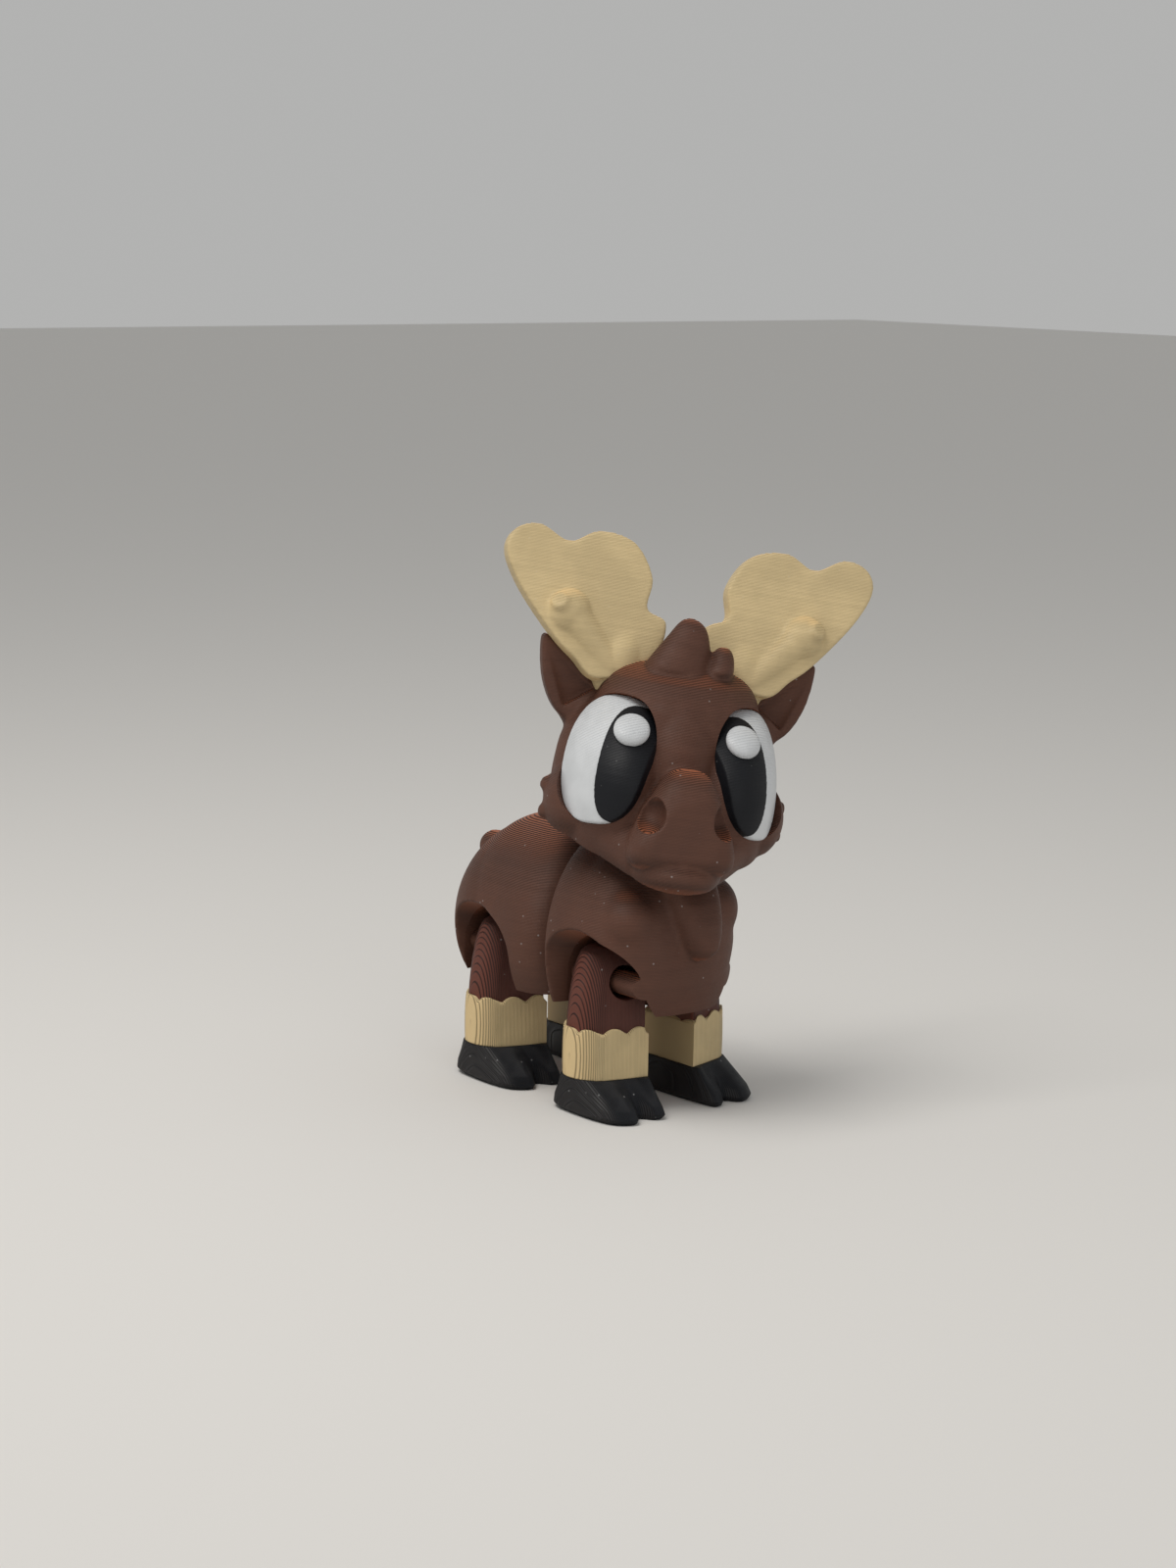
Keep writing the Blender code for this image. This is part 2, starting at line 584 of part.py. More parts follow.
def eye(name, side, group, cutters, parent, materials):
    """White, pupil and highlight, each let into the one behind it."""
    def prism(label, width, height, sideways, grow, up=0.0, back=EYE_DEPTH):
        return eye_prism("_".join((label, name)), cutters, parent, side, width, height, sideways, grow, up, back)

    pupil_in, spot = -PUPIL_IN, 2 * HIGHLIGHT_RADIUS
    white = eye_shell("eye_white_" + name, group, parent, side, materials["white"], 0.0)
    boolean(white, prism("white_edge", EYE_WIDTH, EYE_HEIGHT, 0.0, 0.0), "INTERSECT")
    boolean(white, prism("pupil_room", PUPIL_WIDTH, PUPIL_HEIGHT, pupil_in, GAP, -0.4, EYE_DEPTH + 1.0))
    pupil = eye_shell("pupil_" + name, group, parent, side, materials["black"], 0.1)
    boolean(pupil, prism("pupil_edge", PUPIL_WIDTH, PUPIL_HEIGHT, pupil_in, 0.0, -0.4), "INTERSECT")
    boolean(pupil, prism("pupil_trim", EYE_WIDTH, EYE_HEIGHT, 0.0, 0.0), "INTERSECT")
    boolean(pupil, prism("highlight_room", spot, spot, pupil_in + 0.2, GAP, 5.0, -0.2))
    highlight = eye_shell("eye_highlight_" + name, group, parent, side, materials["white"], 0.6)
    boolean(highlight, prism("highlight_edge", spot, spot, pupil_in + 0.2, 0.0, 5.0, -0.5), "INTERSECT")


def antler(name, side, group, cutters, parent, material):
    """A heart-shaped palm with a knob in front and a small tine inside, on a thick stem."""
    outline = [
        (13.9, 27.0), (18.4, 30.2), (22.2, 33.5), (28.2, 40.8), (31.0, 46.6), (29.6, 50.2), (25.6, 51.2), (20.7, 49.0),
        (16.0, 51.2), (9.9, 50.0), (6.4, 44.6), (6.8, 39.4), (3.4, 37.3), (5.4, 31.0)]
    lean = Matrix.Rotation(atan(-0.2), 4, "X")
    place = shift(y=4.9, z=28.0) @ lean @ shift(z=-28.0)
    bm = bmesh.new()
    add_slab(bm, smooth_loop(outline), 3.8, place)
    add_ball(bm, (10.0, 6.3, 29.5), (4.7, 3.5, 7.0))
    add_bar(bm, (12.0, 5.2, 30.0), (20.0, 6.4, 38.0), 2.8, 3.0)
    add_ball(bm, (19.8, 6.0, 37.6), (4.2, 3.6, 4.2))
    add_bar(bm, (19.8, 6.2, 37.2), (22.0, 3.2, 39.5), 3.4, 1.7)
    mirror_x(bm, side)
    horn = fuse(add_object("antler_" + name, bm, group, parent, material), 0.7, 3, 620)
    return horn


# ---------------------------------------------------------------- assembly


def build():
    clear_scene()
    moose = new_collection("articulated moose figurine")
    cutters = new_collection("cutters", rendered=False)
    brown = plastic("brown plastic", (0.14, 0.065, 0.045))
    russet = plastic("red-brown plastic", (0.13, 0.045, 0.03))
    cream = plastic("cream plastic", (0.68, 0.52, 0.30))
    black = plastic("black plastic", (0.014, 0.015, 0.019))
    white = plastic("white plastic", (0.66, 0.68, 0.70), 0.4)

    stand = add_empty("stand", (0.0, 0.0, 0.0))
    stand.location = STANCE
    neck = add_empty("neck", NECK_PIVOT, stand)
    spine = add_empty("spine", SPINE_PIVOT, stand)
    behind = add_empty("behind_spine", tuple(-v for v in SPINE_PIVOT), spine)

    front_body(moose, cutters, stand, brown)
    rear_body(moose, cutters, behind, brown)
    for row, y in LEG_ROWS.items():
        body = stand if row == "front" else behind
        for side_name, side in SIDES:
            name = "_".join((row, side_name))
            pin = add_empty("pin_" + name, (side * PIN_X, y, PIN_Z), body)
            frame = add_empty("leg_frame_" + name, (-side * PIN_X, -y, -PIN_Z), pin)
            upper_leg(name, moose, cutters, frame, side, y, russet)
            cuff(name, moose, frame, side, y, cream)
            hoof(name, moose, frame, side, y, black)

    head(moose, cutters, neck, brown)
    skull_cover = head_form("skull_cover", cutters, neck)
    fatten = skull_cover.modifiers.new("fatten", "DISPLACE")
    fatten.strength = GAP * MM
    fatten.mid_level = 0.0
    for name, side in SIDES:
        horn = antler(name, side, moose, cutters, neck, cream)
        boolean(horn, skull_cover)
        eye(name, side, moose, cutters, neck, {"white": white, "black": black})

    neck.rotation_mode = "AXIS_ANGLE"
    lean = radians(NECK_LEAN)
    neck.rotation_axis_angle = (radians(HEAD_TURN), 0.0, -sin(lean), cos(lean))
    spine.rotation_euler.z = radians(SPINE_BEND)


build()
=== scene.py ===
"""The looks of an articulated, 3D-printed toy moose: its printed skins, eyes, antlers and hooves, with the
layers that the printer left in them.

Shapes are written in millimetres, in the moose's own upright frame: x towards its left, y backwards, z up, from
the floor between its front feet. The head's are from the pivot of its neck, and the antlers and eyes stand on it.
"""

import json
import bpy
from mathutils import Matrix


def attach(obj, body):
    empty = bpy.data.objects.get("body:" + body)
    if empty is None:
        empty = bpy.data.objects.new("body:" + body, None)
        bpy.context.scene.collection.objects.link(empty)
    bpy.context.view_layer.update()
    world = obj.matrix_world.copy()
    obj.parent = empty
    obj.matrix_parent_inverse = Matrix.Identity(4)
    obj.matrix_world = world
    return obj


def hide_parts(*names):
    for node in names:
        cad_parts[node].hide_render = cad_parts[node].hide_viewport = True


bl_info = {
    "name": "Printed Moose Toy",
    "version": (1, 0, 0),
    "blender": (4, 5, 0),
    "location": "View3D > Sidebar > Moose",
    "description": "Builds the skins, eyes, antlers and legs of a printed toy moose, and a plain stage for it",
    "category": "Object",
}

from math import asin, atan, atan2, copysign, cos, hypot, pi, radians, sin, sqrt

import bmesh
import bpy
import numpy as np
from bpy.props import FloatProperty, FloatVectorProperty, PointerProperty
from mathutils import Matrix, Vector

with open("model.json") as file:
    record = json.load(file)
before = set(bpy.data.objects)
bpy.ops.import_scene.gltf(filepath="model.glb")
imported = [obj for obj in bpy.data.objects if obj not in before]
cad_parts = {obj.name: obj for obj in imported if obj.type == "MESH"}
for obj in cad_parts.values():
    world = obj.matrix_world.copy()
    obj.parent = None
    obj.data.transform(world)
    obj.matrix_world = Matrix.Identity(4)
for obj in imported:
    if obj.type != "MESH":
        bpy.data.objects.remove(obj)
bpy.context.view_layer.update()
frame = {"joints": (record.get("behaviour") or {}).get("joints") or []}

MM = 0.001
SIDES = (("right", -1), ("left", 1))
ROWS = ("front", "rear")
LEGS = [(row, name, side) for row in ROWS for name, side in SIDES]
COARSE = 1.0
JOINTS = {joint["name"]: joint for joint in frame["joints"]}


def joint_at(name):
    return Vector(JOINTS[name]["pos_m"])


def leg_joint(row, name):
    return joint_at("_".join(("leg", row, name, "swing")))


# ---------------- where things are

PIN_X = abs(leg_joint("front", "left").x - leg_joint("front", "right").x) / 2 / MM
PIN_Z = leg_joint("front", "left").z / MM
STAND = (leg_joint("front", "left") + leg_joint("front", "right")) / 2
STAND.z = 0.0
NECK = (joint_at("neck_turn") - STAND) / MM
NECK_AXIS = Vector(JOINTS["neck_turn"]["axis"]).normalized()
SPINE = (joint_at("spine_bend") - STAND) / MM
HEAD_TURN = radians(-31.0)  # towards its right, about the neck
REAR_AXIS = Vector(JOINTS["leg_rear_right_swing"]["axis"])
BEND = atan2(-REAR_AXIS.x, REAR_AXIS.y)
REAR_Y = 26.5  # from the front legs to the rear legs

FRONT = Matrix.Translation(STAND)
REAR = FRONT @ Matrix.Translation(SPINE * MM) @ Matrix.Rotation(BEND, 4, "Z")
REAR = REAR @ Matrix.Translation(-SPINE * MM)
HEAD = FRONT @ Matrix.Translation(NECK * MM) @ Matrix.Rotation(HEAD_TURN, 4, NECK_AXIS)
LEG_PLACES = {"front": FRONT, "rear": REAR @ Matrix.Translation((0, REAR_Y * MM, 0))}


# ---------------- settings


def length(name, description, default):
    """A length to set. Its default is given in millimetres."""
    return FloatProperty(name=name, description=description, default=default * MM, unit="LENGTH")


def tint(name, description, default):
    """A linear colour to set."""
    return FloatVectorProperty(name=name, description=description, default=default, subtype="COLOR", size=3)


class MooseBodySettings(bpy.types.PropertyGroup):
    half_width: length("Half Width", "From the body's middle to its widest point", 15.5)
    belly: length("Belly Height", "Height of the flat underside above the floor", 17.0)
    seam: length("Seam", "Distance of the seam behind the front pins", 8.6)
    pin_radius: length("Pin Radius", "Radius of the pins that the legs turn on", 2.0)


class MooseEyeSettings(bpy.types.PropertyGroup):
    width: length("Width", "Width of the white of an eye", 16.4)
    height: length("Height", "Height of the white of an eye", 21.6)
    highlight: length("Highlight Radius", "Radius of the white bead in the pupil", 2.95)


class MooseLegSettings(bpy.types.PropertyGroup):
    hoof_height: length("Hoof Height", "Height of the hoof's top above the floor", 6.0)
    cuff_height: length("Cuff Height", "Height of the tips of the cuff's scallops above the floor", 14.5)
    scallop: length("Scallop Length", "Length of one scallop along the cuff's edge", 4.55)


class MoosePrintSettings(bpy.types.PropertyGroup):
    layer: length("Layer Height", "Height of one printed layer", 0.23)
    brown: tint("Brown", "Plastic of the head and body", (0.126, 0.054, 0.035))
    russet: tint("Russet", "Plastic of the upper legs", (0.105, 0.036, 0.026))
    cream: tint("Cream", "Plastic of the antlers and cuffs", (0.68, 0.53, 0.29))
    black: tint("Black", "Plastic of the hooves and pupils", (0.006, 0.007, 0.010))
    white: tint("White", "Plastic of the eyes", (0.65, 0.67, 0.69))


class MooseStageSettings(bpy.types.PropertyGroup):
    floor: tint("Floor", "Colour of the floor", (0.72, 0.705, 0.68))
    key: FloatProperty(
        name="Main Light", description="Power of the main light",
        default=1.75, subtype="POWER")


class MooseSettings(bpy.types.PropertyGroup):
    body: PointerProperty(type=MooseBodySettings)
    eyes: PointerProperty(type=MooseEyeSettings)
    legs: PointerProperty(type=MooseLegSettings)
    plastic: PointerProperty(type=MoosePrintSettings)
    stage: PointerProperty(type=MooseStageSettings)


# ---------------- bmesh shapes


def mm(point):
    return Vector(point) * MM


def shift(x=0.0, y=0.0, z=0.0):
    return Matrix.Translation(mm((x, y, z)))


def add_ball(bm, centre, radii, back=None, segments=40, grow=0.0, blunt=2.0, back_blunt=None):
    """An ellipsoid. back is its radius towards +Y where that differs, and a blunt over 2 flattens its ends along Y."""
    made = bmesh.ops.create_uvsphere(bm, u_segments=segments, v_segments=segments // 2, radius=1.0)
    for vert in made["verts"]:
        x, y, z = vert.co
        power = back_blunt if back_blunt and y > 0 else blunt
        x, y, z = Vector((x, y, z)) * (hypot(x, z) ** power + abs(y) ** power) ** (-1 / power)
        deep = back if back and y > 0 else radii[1]
        vert.co = mm(centre) + mm((x * (radii[0] + grow), y * (deep + grow), z * (radii[2] + grow)))


def add_bar(bm, start, end, start_radius, end_radius, flatten=1.0, segments=32):
    """A round bar that may taper, and may be squeezed along Y."""
    a, b = mm(start), mm(end)
    turn = (b - a).to_track_quat("Z", "Y").to_matrix().to_4x4()
    squeeze = Matrix.Diagonal((1.0, flatten, 1.0, 1.0))
    bmesh.ops.create_cone(
        bm, cap_ends=True, segments=segments, radius1=start_radius * MM, radius2=end_radius * MM,
        depth=(b - a).length, matrix=Matrix.Translation((a + b) / 2) @ squeeze @ turn)


def add_slab(bm, outline, thickness, place=Matrix()):
    """A plate: an outline of (x, z) points, extruded along Y about the middle."""
    corners = [bm.verts.new(place @ mm((x, -thickness / 2, z))) for x, z in outline]
    grown = bmesh.ops.extrude_face_region(bm, geom=[bm.faces.new(corners)])
    moved = [item for item in grown["geom"] if isinstance(item, bmesh.types.BMVert)]
    bmesh.ops.translate(bm, verts=moved, vec=place.to_3x3() @ mm((0.0, thickness, 0.0)))


def add_loft(bm, rings):
    """A closed solid bridged through rings of points, each ring to the next."""
    loops = []
    for ring in rings:
        verts = [bm.verts.new(mm(point)) for point in ring]
        loops.append([bm.edges.new((a, b)) for a, b in zip(verts, verts[1:] + verts[:1])])
    for lower, upper in zip(loops, loops[1:]):
        bmesh.ops.bridge_loops(bm, edges=lower + upper)
    bmesh.ops.holes_fill(bm, edges=loops[0] + loops[-1])


def add_block(bm, low, high, place=Matrix()):
    """A box between two corners, then placed."""
    middle = Matrix.Translation((mm(high) + mm(low)) / 2)
    size = mm(high) - mm(low)
    bmesh.ops.create_cube(bm, size=1.0, matrix=place @ middle @ Matrix.Diagonal((*size, 1.0)))


def smooth_loop(points, steps=6):
    """A closed smooth curve through the points."""
    curve = []
    count = len(points)
    for i in range(count):
        p0, p1, p2, p3 = (Vector(points[(i + k - 1) % count]) for k in range(4))
        for step in range(steps):
            t = step / steps
            spot = 2 * p1 + (p2 - p0) * t + (2 * p0 - 5 * p1 + 4 * p2 - p3) * t ** 2
            spot += (3 * p1 - p0 - 3 * p2 + p3) * t ** 3
            curve.append(tuple(spot / 2))
    return curve


def mirrored(bm, side):
    """Shapes are drawn on the left; the right side is their mirror image."""
    if side < 0:
        bmesh.ops.scale(bm, vec=(-1.0, 1.0, 1.0), verts=bm.verts)
    return bm


# ---------------- from bmesh to finished piece


def draft(bm, name="draft"):
    """A working object made from a bmesh, with its faces turned outwards."""
    bmesh.ops.recalc_face_normals(bm, faces=bm.faces)
    mesh = bpy.data.meshes.new(name)
    bm.to_mesh(mesh)
    bm.free()
    obj = bpy.data.objects.new(name, mesh)
    bpy.context.scene.collection.objects.link(obj)
    return obj


def settle(obj):
    """Bakes the modifiers into the mesh."""
    evaluated = obj.evaluated_get(bpy.context.evaluated_depsgraph_get())
    mesh = bpy.data.meshes.new_from_object(evaluated)
    old = obj.data
    obj.modifiers.clear()
    obj.data = mesh
    bpy.data.meshes.remove(old)
    return obj


def fuse(obj, voxel, smoothing):
    """Makes one skin of everything in the object, and rounds the edges and creases."""
    remesh = obj.modifiers.new("fuse", "REMESH")
    remesh.mode = "VOXEL"
    remesh.voxel_size = voxel * COARSE * MM
    soften = obj.modifiers.new("soften", "SMOOTH")
    soften.factor = 0.5
    soften.iterations = max(1, round(smoothing / COARSE ** 2))
    return settle(obj)


def carve(obj, bms, operation="DIFFERENCE"):
    """Cuts each of the shapes out of the object, or joins it on, and throws the shapes away."""
    tools = [draft(bm, "tool") for bm in bms]
    for tool in tools:
        cut = obj.modifiers.new("carve", "BOOLEAN")
        cut.operation = operation
        cut.object = tool
        cut.solver = "MANIFOLD"
    settle(obj)
    for tool in tools:
        bpy.data.objects.remove(tool, do_unlink=True)
    return obj


TERRACED, TERRACED_FULLY = 0.90, 0.95  # how squarely the skin has to face the axis to show its layers as steps


def terrace(obj, axis, both=False):
    """Steps the skin by whole layers where it lies nearly across the axis that it was printed along.
    both also steps the skin that faces back along the axis."""
    layer = bpy.context.scene.moose.plastic.layer
    mesh = obj.data
    count = len(mesh.vertices)
    spots, normals = np.empty(count * 3, np.float32), np.empty(count * 3, np.float32)
    mesh.vertices.foreach_get("co", spots)
    mesh.vertex_normals.foreach_get("vector", normals)
    spots, axis = spots.reshape(-1, 3), np.array(axis, np.float32)
    facing = normals.reshape(-1, 3) @ axis
    if both:
        facing = np.abs(facing)
    weight = np.clip((facing - TERRACED) / (TERRACED_FULLY - TERRACED), 0.0, 1.0)
    height = spots @ axis / layer
    part = height - np.floor(height)
    riser = np.clip((part - 0.5) / 0.5 + 0.5, 0.0, 1.0)
    stepped = np.floor(height) + riser ** 2 * (3 - 2 * riser)
    spots += ((stepped - height) * layer * weight)[:, None] * axis
    mesh.vertices.foreach_set("co", spots.ravel())
    mesh.update()
    return obj


def finish_piece(obj, name, place, body, nodes, material, sharp=42.0):
    """Puts a finished shape in its place for good, and lets it ride on its body in the stead of its plain solids."""
    obj.name = obj.data.name = name
    obj.data.transform(place)
    obj.data.materials.clear()
    obj.data.materials.append(material)
    obj.data.shade_smooth()
    obj.data.set_sharp_from_angle(angle=radians(sharp))
    obj.data.update()
    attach(obj, body)
    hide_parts(*nodes)


# ---------------- printed plastic

# In parts of a layer's height
STEP_RISE = (0.34, 0.66)  # where a layer's step rises
GROOVE_SHADE_EDGE = (0.14, 0.44)  # half width of the painted shade between layers, full and faded
# In how level the skin is: 0 upright, 1 level
BEADS_SHOW = (0.25, 0.92)  # beads fade over this
GROOVE_SHADE_SHOWS = (0.15, 0.80)  # the painted shade between layers grows over this
HIGHLIGHT_SHOWS = (0.55, 0.93)  # painted highlight: level skin is painted warmer and lighter over this
BEAD_ROUNDNESS = 0.6
BEAD_WEAR = (0.45, 1.35)  # least and greatest share of a bead's height
UPRIGHT_GROOVE_SHADE = 0.25  # strength of the painted shade between layers on upright skin
LINT_SCALE, LINT_SIZE, LINT_RARITY = 0.55, (0.05, 0.11), 0.62
CLOUD_SCALE, CLOUD_TONES = 0.12, (0.93, 1.07)
# a layer's darkest random tone, the share of the base colour left in the painted shade between layers, and the lint's
# strength
DARK_BAND, GROOVE_SHADE, LINT_STRENGTH = 0.72, 0.2, 0.55
GRAIN_SCALE, GRAIN_HEIGHT = 6.0, 0.012


def group_socket(group, name, kind, direction, value=None):
    socket = group.interface.new_socket(name=name, in_out=direction, socket_type=kind)
    if value is not None:
        socket.default_value = value


def math_node(tree, operation, *values, clamp=False):
    node = tree.nodes.new("ShaderNodeMath")
    node.operation = operation
    node.use_clamp = clamp
    for socket, value in zip(node.inputs, values):
        if isinstance(value, (int, float)):
            socket.default_value = value
        else:
            tree.links.new(value, socket)
    return node.outputs[0]


def ramp(tree, value, low, high, start=0.0, end=1.0):
    """A smooth step of value from low to high."""
    node = tree.nodes.new("ShaderNodeMapRange")
    node.interpolation_type = "SMOOTHSTEP"
    tree.links.new(value, node.inputs["Value"])
    for name, number in (("From Min", low), ("From Max", high), ("To Min", start), ("To Max", end)):
        node.inputs[name].default_value = number
    return node.outputs["Result"]


def noise(tree, position, scale, detail):
    node = tree.nodes.new("ShaderNodeTexNoise")
    node.inputs["Scale"].default_value = scale
    node.inputs["Detail"].default_value = detail
    tree.links.new(position, node.inputs["Vector"])
    return node.outputs["Fac"]


def layers_group():
    """Printed layers along Z: their steps where the skin is nearly level, and their beads where it is upright.
    Riser is the painted shade between two layers, a dark line along each step, Level a value of each layer's own, and
    Flatness how level the skin is."""
    group = bpy.data.node_groups.new("Printed Layers", "ShaderNodeTree")
    group_socket(group, "Position", "NodeSocketVector", "INPUT")
    group_socket(group, "Normal", "NodeSocketVector", "INPUT")
    group_socket(group, "Layer", "NodeSocketFloat", "INPUT", 0.2)
    group_socket(group, "Bead", "NodeSocketFloat", "INPUT", 0.02)
    group_socket(group, "Height", "NodeSocketFloat", "OUTPUT")
    group_socket(group, "Riser", "NodeSocketFloat", "OUTPUT")
    group_socket(group, "Level", "NodeSocketFloat", "OUTPUT")
    group_socket(group, "Flatness", "NodeSocketFloat", "OUTPUT")
    inp, out = group.nodes.new("NodeGroupInput"), group.nodes.new("NodeGroupOutput")

    place = group.nodes.new("ShaderNodeSeparateXYZ")
    group.links.new(inp.outputs["Position"], place.inputs[0])
    face = group.nodes.new("ShaderNodeSeparateXYZ")
    group.links.new(inp.outputs["Normal"], face.inputs[0])
    flat = math_node(group, "ABSOLUTE", face.outputs["Z"])
    height = math_node(group, "DIVIDE", place.outputs["Z"], inp.outputs["Layer"])
    floor = math_node(group, "FLOOR", height)
    part = math_node(group, "SUBTRACT", height, floor)
    stepped = math_node(group, "ADD", floor, ramp(group, part, *STEP_RISE))
    step = math_node(group, "MULTIPLY", math_node(group, "SUBTRACT", stepped, height), inp.outputs["Layer"])
    step = math_node(group, "MULTIPLY", step, flat)
    crown = math_node(group, "SINE", math_node(group, "MULTIPLY", part, pi))
    crown = math_node(group, "POWER", crown, BEAD_ROUNDNESS)
    uneven = noise(group, inp.outputs["Position"], 0.55, 3.0)
    crown = math_node(group, "MULTIPLY", crown, ramp(group, uneven, 0.3, 0.7, *BEAD_WEAR))
    steep = ramp(group, flat, *BEADS_SHOW, 1.0, 0.0)
    bead = math_node(group, "MULTIPLY", math_node(group, "MULTIPLY", crown, inp.outputs["Bead"]), steep)
    group.links.new(math_node(group, "ADD", step, bead), out.inputs["Height"])

    # painted shade: a dark line along the middle of each step between layers, strongest on level skin
    off = math_node(group, "ABSOLUTE", math_node(group, "SUBTRACT", part, 0.5))
    line = ramp(group, off, *GROOVE_SHADE_EDGE, 1.0, 0.0)
    shown = ramp(group, flat, *GROOVE_SHADE_SHOWS, UPRIGHT_GROOVE_SHADE, 1.0)
    group.links.new(math_node(group, "MULTIPLY", line, shown), out.inputs["Riser"])
    shade = group.nodes.new("ShaderNodeTexWhiteNoise")
    shade.noise_dimensions = "1D"
    group.links.new(math_node(group, "FLOOR", math_node(group, "ADD", height, 0.5)), shade.inputs["W"])
    group.links.new(shade.outputs["Value"], out.inputs["Level"])
    group.links.new(flat, out.inputs["Flatness"])
    return group


def dust_group():
    """Specks of lint and dust, and broad soft clouds in the colour."""
    group = bpy.data.node_groups.new("Lint And Clouds", "ShaderNodeTree")
    group_socket(group, "Position", "NodeSocketVector", "INPUT")
    group_socket(group, "Specks", "NodeSocketFloat", "INPUT", 1.0)
    group_socket(group, "Lint", "NodeSocketFloat", "OUTPUT")
    group_socket(group, "Cloud", "NodeSocketFloat", "OUTPUT")
    inp, out = group.nodes.new("NodeGroupInput"), group.nodes.new("NodeGroupOutput")
    cells = group.nodes.new("ShaderNodeTexVoronoi")
    cells.inputs["Scale"].default_value = LINT_SCALE
    group.links.new(inp.outputs["Position"], cells.inputs["Vector"])
    chosen = group.nodes.new("ShaderNodeSeparateColor")
    group.links.new(cells.outputs["Color"], chosen.inputs[0])
    dot = ramp(group, cells.outputs["Distance"], *LINT_SIZE, 1.0, 0.0)
    dot = math_node(group, "MULTIPLY", dot, math_node(group, "GREATER_THAN", chosen.outputs[0], LINT_RARITY))
    group.links.new(math_node(group, "MULTIPLY", dot, inp.outputs["Specks"], clamp=True), out.inputs["Lint"])
    group.links.new(noise(group, inp.outputs["Position"], CLOUD_SCALE, 3.0), out.inputs["Cloud"])
    return group


def mix_colour(tree, factor, first, second):
    node = tree.nodes.new("ShaderNodeMix")
    node.data_type = "RGBA"
    for index, value in ((0, factor), (6, first), (7, second)):
        if isinstance(value, (int, float)):
            node.inputs[index].default_value = value
        elif isinstance(value, tuple):
            node.inputs[index].default_value = (*value, 1.0)
        else:
            tree.links.new(value, node.inputs[index])
    return node.outputs[2]


def plastic(
        name, colour, place, lying=False, roughness=0.55, bead=0.03, riser=0.95, specks=1.0, level_highlight=1.6, bands=0.25):
    """A printed plastic. place is the frame that it was printed in, and a lying piece was printed on its side, along X.
    bead is the height of a layer's bulge, riser the strength of the painted shade, a dark line, between layers, specks
    that of the lint, glow the strength of the painted highlight that makes level skin warmer and lighter, and bands how
    far layers differ in tone."""
    material = bpy.data.materials.get(name)
    if material:
        return material
    material = bpy.data.materials.new(name)
    material.use_nodes = True
    tree = material.node_tree
    shader = tree.nodes["Principled BSDF"]
    layers = bpy.data.node_groups.get("Printed Layers") or layers_group()
    dust = bpy.data.node_groups.get("Lint And Clouds") or dust_group()
    if lying:
        place = place @ Matrix.Rotation(radians(90), 4, "Y")
    inverse = place.inverted()

    coordinates = tree.nodes.new("ShaderNodeTexCoord")
    centre = tree.nodes.new("ShaderNodeMapping")
    centre.inputs["Location"].default_value = inverse.translation / MM
    centre.inputs["Rotation"].default_value = inverse.to_euler()
    centre.inputs["Scale"].default_value = (1 / MM,) * 3
    tree.links.new(coordinates.outputs["Object"], centre.inputs["Vector"])
    facing = tree.nodes.new("ShaderNodeMapping")
    facing.vector_type = "NORMAL"
    facing.inputs["Rotation"].default_value = inverse.to_euler()
    tree.links.new(coordinates.outputs["Normal"], facing.inputs["Vector"])

    print_lines = tree.nodes.new("ShaderNodeGroup")
    print_lines.node_tree = layers
    print_lines.inputs["Layer"].default_value = bpy.context.scene.moose.plastic.layer / MM
    print_lines.inputs["Bead"].default_value = bead
    tree.links.new(centre.outputs["Vector"], print_lines.inputs["Position"])
    tree.links.new(facing.outputs["Vector"], print_lines.inputs["Normal"])
    lint = tree.nodes.new("ShaderNodeGroup")
    lint.node_tree = dust
    lint.inputs["Specks"].default_value = specks
    tree.links.new(centre.outputs["Vector"], lint.inputs["Position"])

    base = Vector(colour)
    # painted highlight: a warmer, lighter colour for skin that lies level, where light catches it
    painted_highlight = tuple(min(1.0, c * k) for c, k in zip(base, (1 + 0.9 * level_highlight, 1 + 0.55 * level_highlight, 1 + 0.25 * level_highlight)))
    clouds = mix_colour(
        tree, ramp(tree, lint.outputs["Cloud"], 0.35, 0.65), *(tuple(base * tone) for tone in CLOUD_TONES))
    tone = ramp(tree, print_lines.outputs["Level"], 0.0, 1.0, 0.0, bands)
    banded = mix_colour(tree, tone, clouds, tuple(base * DARK_BAND))
    # level skin takes the painted highlight
    level = mix_colour(tree, ramp(tree, print_lines.outputs["Flatness"], *HIGHLIGHT_SHOWS), banded, painted_highlight)
    # painted shade between layers: a dark line along each step
    groove_shaded = mix_colour(
        tree, math_node(tree, "MULTIPLY", print_lines.outputs["Riser"], riser), level, tuple(base * GROOVE_SHADE))
    pale = tuple(0.5 * c + 0.35 for c in base)
    speckled = mix_colour(tree, math_node(tree, "MULTIPLY", lint.outputs["Lint"], LINT_STRENGTH), groove_shaded, pale)
    tree.links.new(speckled, shader.inputs["Base Color"])
    tree.links.new(
        ramp(tree, lint.outputs["Cloud"], 0.3, 0.7, roughness - 0.05, roughness + 0.07), shader.inputs["Roughness"])
    bump = tree.nodes.new("ShaderNodeBump")
    bump.inputs["Strength"].default_value = 1.0
    bump.inputs["Distance"].default_value = MM
    grain = math_node(tree, "MULTIPLY", noise(tree, centre.outputs["Vector"], GRAIN_SCALE, 2.0), GRAIN_HEIGHT)
    tree.links.new(math_node(tree, "ADD", print_lines.outputs["Height"], grain), bump.inputs["Height"])
    tree.links.new(bump.outputs["Normal"], shader.inputs["Normal"])
    shader.inputs["Metallic"].default_value = 0.0
    shader.inputs["Specular IOR Level"].default_value = 0.28
    return material


def brown(place_name):
    place = {"front": FRONT, "rear": REAR, "head": HEAD}[place_name]
    return plastic("brown plastic, " + place_name, bpy.context.scene.moose.plastic.brown, place)


# ---------------- body

